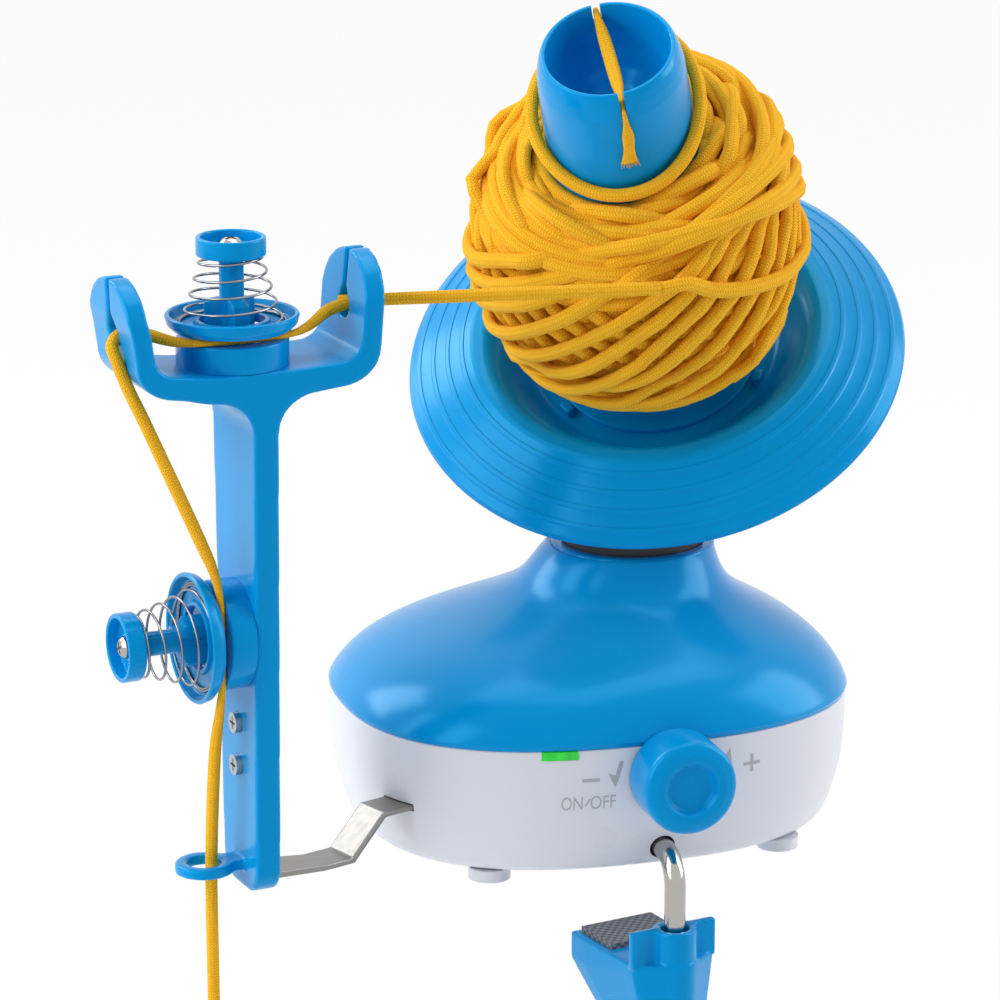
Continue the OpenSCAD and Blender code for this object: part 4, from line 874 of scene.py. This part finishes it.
arc = [math.radians(a) for a in range(0, 91, 15)]
foot_levels = [FOOT_H + EDGE_R * (1 - math.cos(a)) for a in arc]
wall_levels = list(np.linspace(FOOT_H + EDGE_R, SEAM_Z - SEAM_ROUND, 22))[1:]
white_rings = [lower_oval(z, 0) for z in foot_levels + wall_levels]
white_rings += [lower_oval(SEAM_Z - SEAM_ROUND + SEAM_ROUND * math.sin(a), SEAM_ROUND * (1 - math.cos(a)))
                for a in arc[1:]]
white_rings += [lower_oval(z, WALL) for z in np.linspace(SEAM_Z, FOOT_H + WALL, 12)]
white_shell = loft("white_shell", white_rings)
print("white shell", len(white_shell.data.polygons), "faces")

dome_levels = SEAM_Z + (NECK_Z - SEAM_Z) * np.linspace(0, 1, 57)
blue_rings = [upper_oval(SEAM_Z, WALL)]
blue_rings += [upper_oval(SEAM_Z, SEAM_ROUND * (1 - math.sin(a)), -SEAM_ROUND * (1 - math.cos(a)))
               for a in arc]
blue_rings += [upper_oval(z, 0) for z in dome_levels[2:-1]]
blue_rings += [upper_oval(NECK_Z, NECK_ROUND * (1 - math.cos(a)), NECK_ROUND * (1 - math.sin(a)))
               for a in arc]
blue_rings += [upper_oval(NECK_Z, NECK_R - NECK_BORE), upper_oval(NECK_Z, NECK_R - NECK_BORE, NECK_DEPTH)]
blue_rings += [upper_oval(z, WALL + 0.4) for z in dome_levels[-14:1:-2]]
blue_shell = loft("blue_shell", blue_rings + [blue_rings[0]])
settle(blue_shell, HERE, "base", "blue_plastic", blue_abs, "upper_housing")

# %% [markdown]
# The white wall has real openings: a notch for the indicator under the seam, a slot for the strip, and round
# holes for the rod, the knob's shaft and the power inlet. Each is cut with a plain body of the right size.

# %% Openings in the white shell
def rod_body(name, radius_mm, low, high):
    """A round bar along Z between two heights, in millimetres."""
    return turned(name, [(0, low), (radius_mm, low), (radius_mm, high), (0, high)], 0, 48)


LED_X, LED_Z, LED_HALF = -48.0, 47.0, 5.9
ROD_X, ROD_Y, ROD_Z, ROD_R, ROD_BEND = -12.0, -80.0, 11.5, 3.5, 10.0
ROD_PLAY, KNOB_HOLE, INLET_HOLE = 0.8, 4.6, 5.1
led_cut = block("led_cut", (LED_X - LED_HALF, -80, LED_Z - 1.5), (LED_X + LED_HALF, -60, LED_Z + 9))
strip_cut = block("strip_cut", (-20, -6.9, 23.7), (30, 6.9, 26.3))
strip_cut.data.transform(ON_STRIP)
rod_cut = rod_body("rod_cut", ROD_R + ROD_PLAY, 0, 60)
rod_cut.data.transform(move(ROD_X, -20, ROD_Z) @ turn(90, "X"))
knob_cut = rod_body("knob_cut", KNOB_HOLE, 60, 80)
knob_cut.data.transform(ON_KNOB)
inlet_cut = rod_body("inlet_cut", INLET_HOLE, 0, 30)
inlet_cut.data.transform(move(20, 50, 16) @ turn(-90, "X"))
carve(white_shell, [led_cut, strip_cut, rod_cut, knob_cut, inlet_cut])
settle(white_shell, HERE, "base", "white_plastic", white_abs, "lower_housing")

# %% [markdown]
# The knob is a thick turned body with a soft front edge. Its face has a raised ring round a shallow recess,
# and a small dot near the edge shows the setting.

# %% Speed knob
KNOB_BACK, KNOB_R, KNOB_DEPTH, SHAFT_R, SHAFT_DEPTH, DOT_R = 72.7, 15.7, 18, 3.05, 15, 1.25
front = KNOB_BACK + KNOB_DEPTH
knob_profile = [
    (SHAFT_R, KNOB_BACK + 2), (12.4, KNOB_BACK + 2), (12.4, KNOB_BACK), (KNOB_R - 0.3, KNOB_BACK),
    (KNOB_R, KNOB_BACK + 1), (KNOB_R, front - 1.2), (11.4, front), (8.9, front - 0.1), (7.4, front - 2.6),
    (0, front - 2.8), (0, KNOB_BACK + SHAFT_DEPTH), (SHAFT_R, KNOB_BACK + SHAFT_DEPTH),
]
knob_soft = [0, 0.3, 0.3, 0.4, 0.4, 4.4, 2.4, 0.9, 0.9, 0, 0, 0]
knob = turned("speed_knob_moulding", knob_profile, knob_soft, 128)
dot_profile = [(0, front - 2), (DOT_R, front - 2), (DOT_R, front - 0.2), (0, front + 0.1)]
dot = turned("setting_dot", dot_profile, [0, 0, 0.4, 0], 32)
dot.data.transform(move(-10.6, -2.6, -0.5))
join(knob, [dot])
settle(knob, ON_KNOB, "knob", "blue_plastic", blue_abs, "speed_knob")

# %% [markdown]
# A tensioner is a seat on the arm with a finned stem, a dished disc that slides on it, a conical spring, and
# a cup-shaped cap held by a cross-head screw. Both tensioners are the same, so one recipe makes each piece
# upright and sets it down in the two places.

# %% Tensioner posts
SEAT_R, SEAT_H, STEM_R, STEM_TOP = 17.75, 8.5, 3.9, 34.3
FIN_TOP, FIN_HALF, FIN_R, FIN_FLAT, FIN_DROP = 21.5, 2.6, 8.5, 5.0, 2.2
post_profile = [(0, -5), (4, -5), (4, 0), (SEAT_R, 0), (SEAT_R, SEAT_H), (7.5, SEAT_H), (7.5, SEAT_H + 2),
                (STEM_R, SEAT_H + 2), (STEM_R, STEM_TOP), (0, STEM_TOP)]
post_soft = [0, 0.3, 0, 0.2, 0.8, 0.4, 0.4, 0.4, 0.3, 0]
TENSION_PLACES = [("upper", ON_UPPER, 0), ("lower", ON_LOWER, 180)]
for name, place, quarter in TENSION_PLACES:
    post = turned(name + "_post_moulding", post_profile, post_soft, 96)
    fins = []
    for angle in (30, 150, 270):
        fin = block("fin", (0, -FIN_HALF, 1), (FIN_R, FIN_HALF, FIN_TOP), 0.5)
        for v in fin.data.vertices:
            beyond = (v.co.x / MM - FIN_FLAT) / (FIN_R - FIN_FLAT)
            if v.co.z > (FIN_TOP - 3) * MM and beyond > 0:
                v.co.z -= FIN_DROP * MM * beyond ** 2
        fin.data.transform(turn(angle + quarter, "Z"))
        fins.append(fin)
    join(post, fins)
    settle(post, place, "base", "blue_plastic", blue_abs, name + "_post")

# %% Tensioner discs and caps
disc_profile = [(10.2, 11.3), (11, 10.9), (18.5, 10.9), (20.5, 12.9), (21.1, 15.5), (20.6, 16.1),
                (19.7, 15.9), (18.7, 12.7), (12, 12.7), (11.6, 14.1), (10.2, 14.1)]
disc_soft = [0.2, 0.3, 1.6, 1.6, 0.5, 0.5, 0.4, 1.2, 0.5, 0.4, 0.4]
cap_profile = [(1.6, 0), (10.6, 0), (11, 0.5), (11, 6), (9.5, 6), (9.2, 1.8), (4.6, 1.8), (4.6, 3.2),
               (1.6, 3.2)]
cap_soft = [0, 0.4, 0.4, 0.7, 0.7, 0.9, 0.5, 0.5, 0]
SCREW_TOP, CROSS_L, CROSS_W, CROSS_DEPTH = 2.4, 2.0, 0.42, 1.1
screw_profile = [(0, -14), (1.4, -14), (1.4, 0), (3.6, 0), (3.6, 0.9), (2.4, 2.1), (0, SCREW_TOP)]
screw_soft = [0, 0, 0, 0.2, 0.8, 1.6, 0]


def cross_screw(name):
    screw = turned(name, screw_profile, screw_soft, 48)
    low, high = SCREW_TOP - CROSS_DEPTH, SCREW_TOP + 1
    halves = [(CROSS_L, CROSS_W), (CROSS_W, CROSS_L)]
    return carve(screw, [block("cross_arm", (-x, -y, low), (x, y, high)) for x, y in halves])


cap_heads = []
for name, place, _ in TENSION_PLACES:
    disc = turned(name + "_disc_moulding", disc_profile, disc_soft, 112)
    settle(disc, place, name + "_disc", "blue_plastic", blue_abs, name + "_disc")
    cap = turned(name + "_cap_moulding", cap_profile, cap_soft, 96)
    settle(cap, place @ move(0, 0, STEM_TOP), "base", "blue_plastic", blue_abs, name + "_cap")
    screw = cross_screw(name + "_cap_screw")
    screw.data.transform(place @ move(0, 0, STEM_TOP + 3.25) @ turn(25, "Z"))
    cap_heads.append(screw)
cap_screws = join(cap_heads[0], cap_heads[1:])
cap_screws.name = "cap_screw_pair"
settle(cap_screws, HERE, "base", "polished_steel", polished_steel, "cap_screws")

# %% [markdown]
# The spring is drawn wire on a cone: wide in the disc's dish and narrow under the cap, with a flat turn at
# each end.

# %% Tensioner springs
COILS, FLAT_COILS, WIRE_R, SPRING_LOW, SPRING_HIGH = 6.4, 1.7, 0.45, 13.3, 33.7
COIL_STEPS, COIL_R, FLAT_TAPER, CONE_TAPER, CONE_POWER, TOP_COILS = 48, 17.6, 1.3, 6.5, 0.85, 0.6
turns = np.linspace(0, COILS, int(COILS * COIL_STEPS) + 1)
rising = np.clip((turns - FLAT_COILS) / (COILS - FLAT_COILS - TOP_COILS), 0, 1)
wide = COIL_R - FLAT_TAPER * np.clip(turns / FLAT_COILS, 0, 1) - CONE_TAPER * rising ** CONE_POWER
helix = np.stack([wide * np.cos(2 * np.pi * turns), wide * np.sin(2 * np.pi * turns),
                  SPRING_LOW + (SPRING_HIGH - SPRING_LOW) * rising], 1)
for name, place, _ in TENSION_PLACES:
    spring = tube(name + "_spring_wire", helix * MM, WIRE_R * MM, WIRE_R * MM, 8, np.array([0.0, 0.0, 1.0]))
    settle(spring, place, "base", "spring_steel", wire_steel, name + "_spring")
    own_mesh(spring)

# %% [markdown]
# The arm, the jaw and its nut are thick mouldings whose edges run into each other in fillets.
# A copy of the solid is merged, remeshed into small even faces and smoothed, which rounds every edge and
# inner corner by about a millimetre, as the mould does.
# The ears of the fork lean outwards and the tray's ends rise a little, so the arm's copy is bent there.

# %% Softened mouldings
def softened(node, name, voxel_mm, passes, place):
    source = nodes[node]
    obj = linked(name, source.data.copy())
    obj.data.transform(place.inverted() @ source.matrix_world)
    open_mesh(obj)
    bpy.ops.mesh.remove_doubles(threshold=TINY)
    bpy.ops.object.mode_set(mode="OBJECT")
    grid = obj.modifiers.new("grid", "REMESH")
    grid.mode = "VOXEL"
    grid.voxel_size = voxel_mm * MM
    bpy.ops.object.modifier_apply(modifier=grid.name)
    ease = obj.modifiers.new("ease", "SMOOTH")
    ease.factor = 0.5
    ease.iterations = passes
    bpy.ops.object.modifier_apply(modifier=ease.name)
    bpy.ops.object.shade_smooth()
    obj.data.transform(place)
    return obj


FORK_FROM, FORK_FOOT, EAR_TOP = 160.0, 172.0, 216.0
LEFT_END, RIGHT_END, END_BLEND = -14.0, 8.0, 24.0
LEFT_LEAN = [(176, 4.9), (186, 4.8), (190, 4.3), (196, 3.6), (203, 2.4), (216, 2.0)]
RIGHT_LEAN = [(186, 0.0), (200, 1.0), (216, 2.4)]
LEFT_RISE, RIGHT_RISE = (3.0, -4.0), (1.6, -2.0)


def bent(x, z):
    """How far a point of the fork moves sideways and upwards, in millimetres in the arm's own frame."""
    side, up = 0.0, 0.0
    along = (z - FORK_FOOT) / (EAR_TOP - FORK_FOOT)
    ends = [(LEFT_END - x, LEFT_LEAN, LEFT_RISE), (x - RIGHT_END, RIGHT_LEAN, RIGHT_RISE)]
    for beyond, lean, (foot, top) in ends:
        share = smooth_step(min(max(beyond / END_BLEND, 0.0), 1.0))
        side += share * float(np.interp(z, *zip(*lean)))
        up += share * (foot + (top - foot) * along)
    return side, up


arm = softened("yarn_arm", "yarn_arm_moulding", 0.7, 6, ON_ARM)
to_arm = ON_ARM.inverted()
for vertex in arm.data.vertices:
    spot = to_arm @ vertex.co
    if spot.z > FORK_FROM * MM:
        side, up = bent(spot.x / MM, spot.z / MM)
        vertex.co = ON_ARM @ (spot + Vector((side * MM, 0, up * MM)))
settle(arm, HERE, "base", "blue_plastic", blue_abs, "yarn_arm")
arm.data.materials.append(grained_abs)
TRAY_LOW, TRAY_HIGH, LEVEL = 178.0, 184.0, 0.85
for face in arm.data.polygons:
    height = (to_arm @ face.center).z / MM
    if TRAY_LOW < height < TRAY_HIGH and face.normal.z > LEVEL:
        face.material_index = 1
print("tray faces", sum(face.material_index for face in arm.data.polygons))
for part in ("jaw", "nut"):
    moulding = softened("clamp_" + part, "clamp_" + part + "_moulding", 0.6, 5, ON_JAW)
    settle(moulding, HERE, part, "blue_plastic", blue_abs, "clamp_" + part)
strip = softened("arm_strip", "arm_strip_sheet", 0.45, 3, ON_STRIP)
settle(strip, HERE, "base", "plated_steel", rolled_steel, "arm_strip")

# %% [markdown]
# The clamp rod is one polished bar: straight in the base, bent down in front of it, with a screw thread below
# the jaw.

# %% Clamp rod
ROD_START, ROD_END, THREAD_TOP, PITCH, ROOT_R = -24.0, -112.0, -74.0, 2.0, ROD_R - 0.55
bend = np.linspace(0, math.pi / 2, 25)
corner_y, corner_z = ROD_Y + ROD_BEND, ROD_Z - ROD_BEND
way = [(ROD_X, ROD_START, ROD_Z), (ROD_X, corner_y, ROD_Z)]
way += [(ROD_X, corner_y - ROD_BEND * math.sin(a), corner_z + ROD_BEND * math.cos(a)) for a in bend[1:]]
way += [(ROD_X, ROD_Y, THREAD_TOP)]
rod = tube("clamp_rod_bar", np.array(way) * MM, ROD_R * MM, ROD_R * MM, 40, np.array([1.0, 0.0, 0.0]))
thread = []
for k in range(int((THREAD_TOP - ROD_END) / PITCH)):
    z = THREAD_TOP - k * PITCH
    thread += [(ROOT_R, z), (ROD_R, z - 0.8), (ROD_R, z - 1.2)]
thread += [(ROOT_R, ROD_END + 0.6), (ROD_R - 1.2, ROD_END), (0, ROD_END), (0, THREAD_TOP)]
screwed = turned("rod_thread", thread, 0, 40)
screwed.data.transform(move(ROD_X, ROD_Y, 0))
join(rod, [screwed])
only(rod)
bpy.ops.object.shade_smooth_by_angle(angle=math.radians(30))
settle(rod, HERE, "rod", "polished_steel", polished_steel, "clamp_rod")

# %% [markdown]
# The marks beside the knob are pad-printed in light grey: a minus and a plus, two short arrows, and the
# switch's words. Each is a flat shape whose points are all set on the wall, a hair above the white plastic.

# %% Printed marks
print_grey = moulded("grey_pad_print", "#B2B1B6", 0.6, 0.8, 0.005, 0.02)
PRINT_LIFT = 0.06


def on_wall(x, z):
    k = tuck_at(z)
    a, b = HALF_W - k, HALF_D - k
    return -b * (1 - abs((x - SHIFT) / a) ** POWER) ** (1 / POWER) - PRINT_LIFT


def printed(name, corners):
    """A flat outline of (x, z) in millimetres as one face."""
    return built(name, [(x, 0, z) for x, z in corners], [], [tuple(range(len(corners)))])


def lay_on_wall(obj):
    for v in obj.data.vertices:
        x, z = v.co.x, v.co.z
        v.co = (x * MM, on_wall(x, z) * MM, z * MM)


def bar(x0, x1, z0, z1):
    return [(x0, z0), (x1, z0), (x1, z1), (x0, z1)]


OUTLINES = {
    "minus_mark": bar(-40.9, -35.1, 37.7, 38.9),
    "plus_flat": bar(15.0, 21.2, 37.4, 38.6),
    "plus_tall": bar(17.5, 18.7, 35.0, 41.2),
    "left_arrow": [(-29.9, 35.2), (-28.6, 38.6), (-27.1, 44.2), (-28.5, 44.2), (-29.9, 39.4), (-32.3, 40.3)],
    "right_arrow": [(8.2, 38.4), (9.4, 38.4), (10.8, 38.2), (9.9, 44.8), (8.8, 42.6), (7.4, 42.2)],
    "slash_mark": [(-39.9, 29.4), (-39.3, 29.4), (-37.9, 31.9), (-38.5, 31.9)],
}
WORDS = {"ON": (-47.5, -40.6, 28.2, 32.8), "OFF": (-38.0, -29.6, 28.2, 32.8)}


def printed_word(text, x0, x1, z0, z1):
    """A word as a flat mesh, stretched to fill the given box of (x, z) in millimetres."""
    bpy.ops.object.select_all(action="DESELECT")
    bpy.ops.object.text_add(location=(0, 0, 0))
    word = bpy.context.object
    word.name = "word_" + text
    word.data.body = text
    word.data.resolution_u = 6
    bpy.ops.object.convert(target="MESH")
    word = bpy.context.object
    corners = [v.co for v in word.data.vertices]
    low, high = np.min(corners, 0), np.max(corners, 0)
    for v in word.data.vertices:
        across = (v.co.x - low[0]) / (high[0] - low[0])
        upward = (v.co.y - low[1]) / (high[1] - low[1])
        v.co = (x0 + across * (x1 - x0), 0, z0 + upward * (z1 - z0))
    return word


shapes = [printed(name, corners) for name, corners in OUTLINES.items()]
shapes += [printed_word(text, *box) for text, box in WORDS.items()]
marks = join(shapes[0], shapes[1:])
marks.name = "printed_marks"
lay_on_wall(marks)
open_mesh(marks)
bpy.ops.mesh.quads_convert_to_tris()
bpy.ops.mesh.normals_make_consistent(inside=False)
bpy.ops.object.mode_set(mode="OBJECT")
if sum(p.normal.y * p.area for p in marks.data.polygons) > 0:
    marks.data.flip_normals()
bpy.ops.object.select_all(action="DESELECT")
settle(marks, HERE, "base", "white_plastic", print_grey)

# %% [markdown]
# The small solids that stay as they are get their finishes here: the pad is woven grey rubber, the lens is
# lit from behind, and what sits inside the base takes the plain finish of its kind.

# %% Woven pad and lit lens
WEAVE_MM, WEAVE_TURN, GLOW_MM = 1.6, -12, 4
pad_cloth, tree, skin = new_skin("woven_grey_rubber", {"Roughness": 0.8})
spot = add(tree, "ShaderNodeTexCoord").outputs["Object"]
laid = add(tree, "ShaderNodeMapping",
           {"Rotation": (0, 0, math.radians(WEAVE_TURN)), "Scale": (1000 / WEAVE_MM,) * 3}, {"Vector": spot})
weave = add(tree, "ShaderNodeTexChecker",
            {"Scale": 1.0, "Color1": srgb("#85878C"), "Color2": srgb("#5D5F65")}, {"Vector": laid.outputs[0]})
link(tree, skin, {"Base Color": weave.outputs["Color"], "Normal": bump(tree, 0.6, 0.2, weave.outputs["Fac"])})

lit_lens, tree, skin = new_skin("lit_green_acrylic", {"Roughness": 0.25, "Emission Strength": 0.3})
spot = add(tree, "ShaderNodeTexCoord").outputs["Object"]
hue = blend(tree, noise(tree, GLOW_MM, 1.0, spot), srgb("#078A20"), srgb("#2BE23E"))
link(tree, skin, {"Base Color": hue, "Emission Color": hue})

# %% Finishes of the remaining solids
FINISHES = {
    "blue_plastic": blue_abs, "white_plastic": white_abs, "gear_plastic": nylon, "black_plastic": black_abs,
    "polished_steel": polished_steel, "plated_steel": plated_steel, "spring_steel": wire_steel,
    "brass": turned_brass, "grey_rubber": grey_rubber, "board_green": board_green, "lead_red": lead_red,
    "lens_green": lit_lens, "yarn": golden_yarn,
}
for part in frame["record"]["subparts"]:
    solid = nodes[part["node"]]
    finish = pad_cloth if part["node"] == "clamp_pad" else FINISHES[part["material_slot"]]
    solid.data.materials.clear()
    solid.data.materials.append(finish)
print("finishes on", len(nodes), "solids")
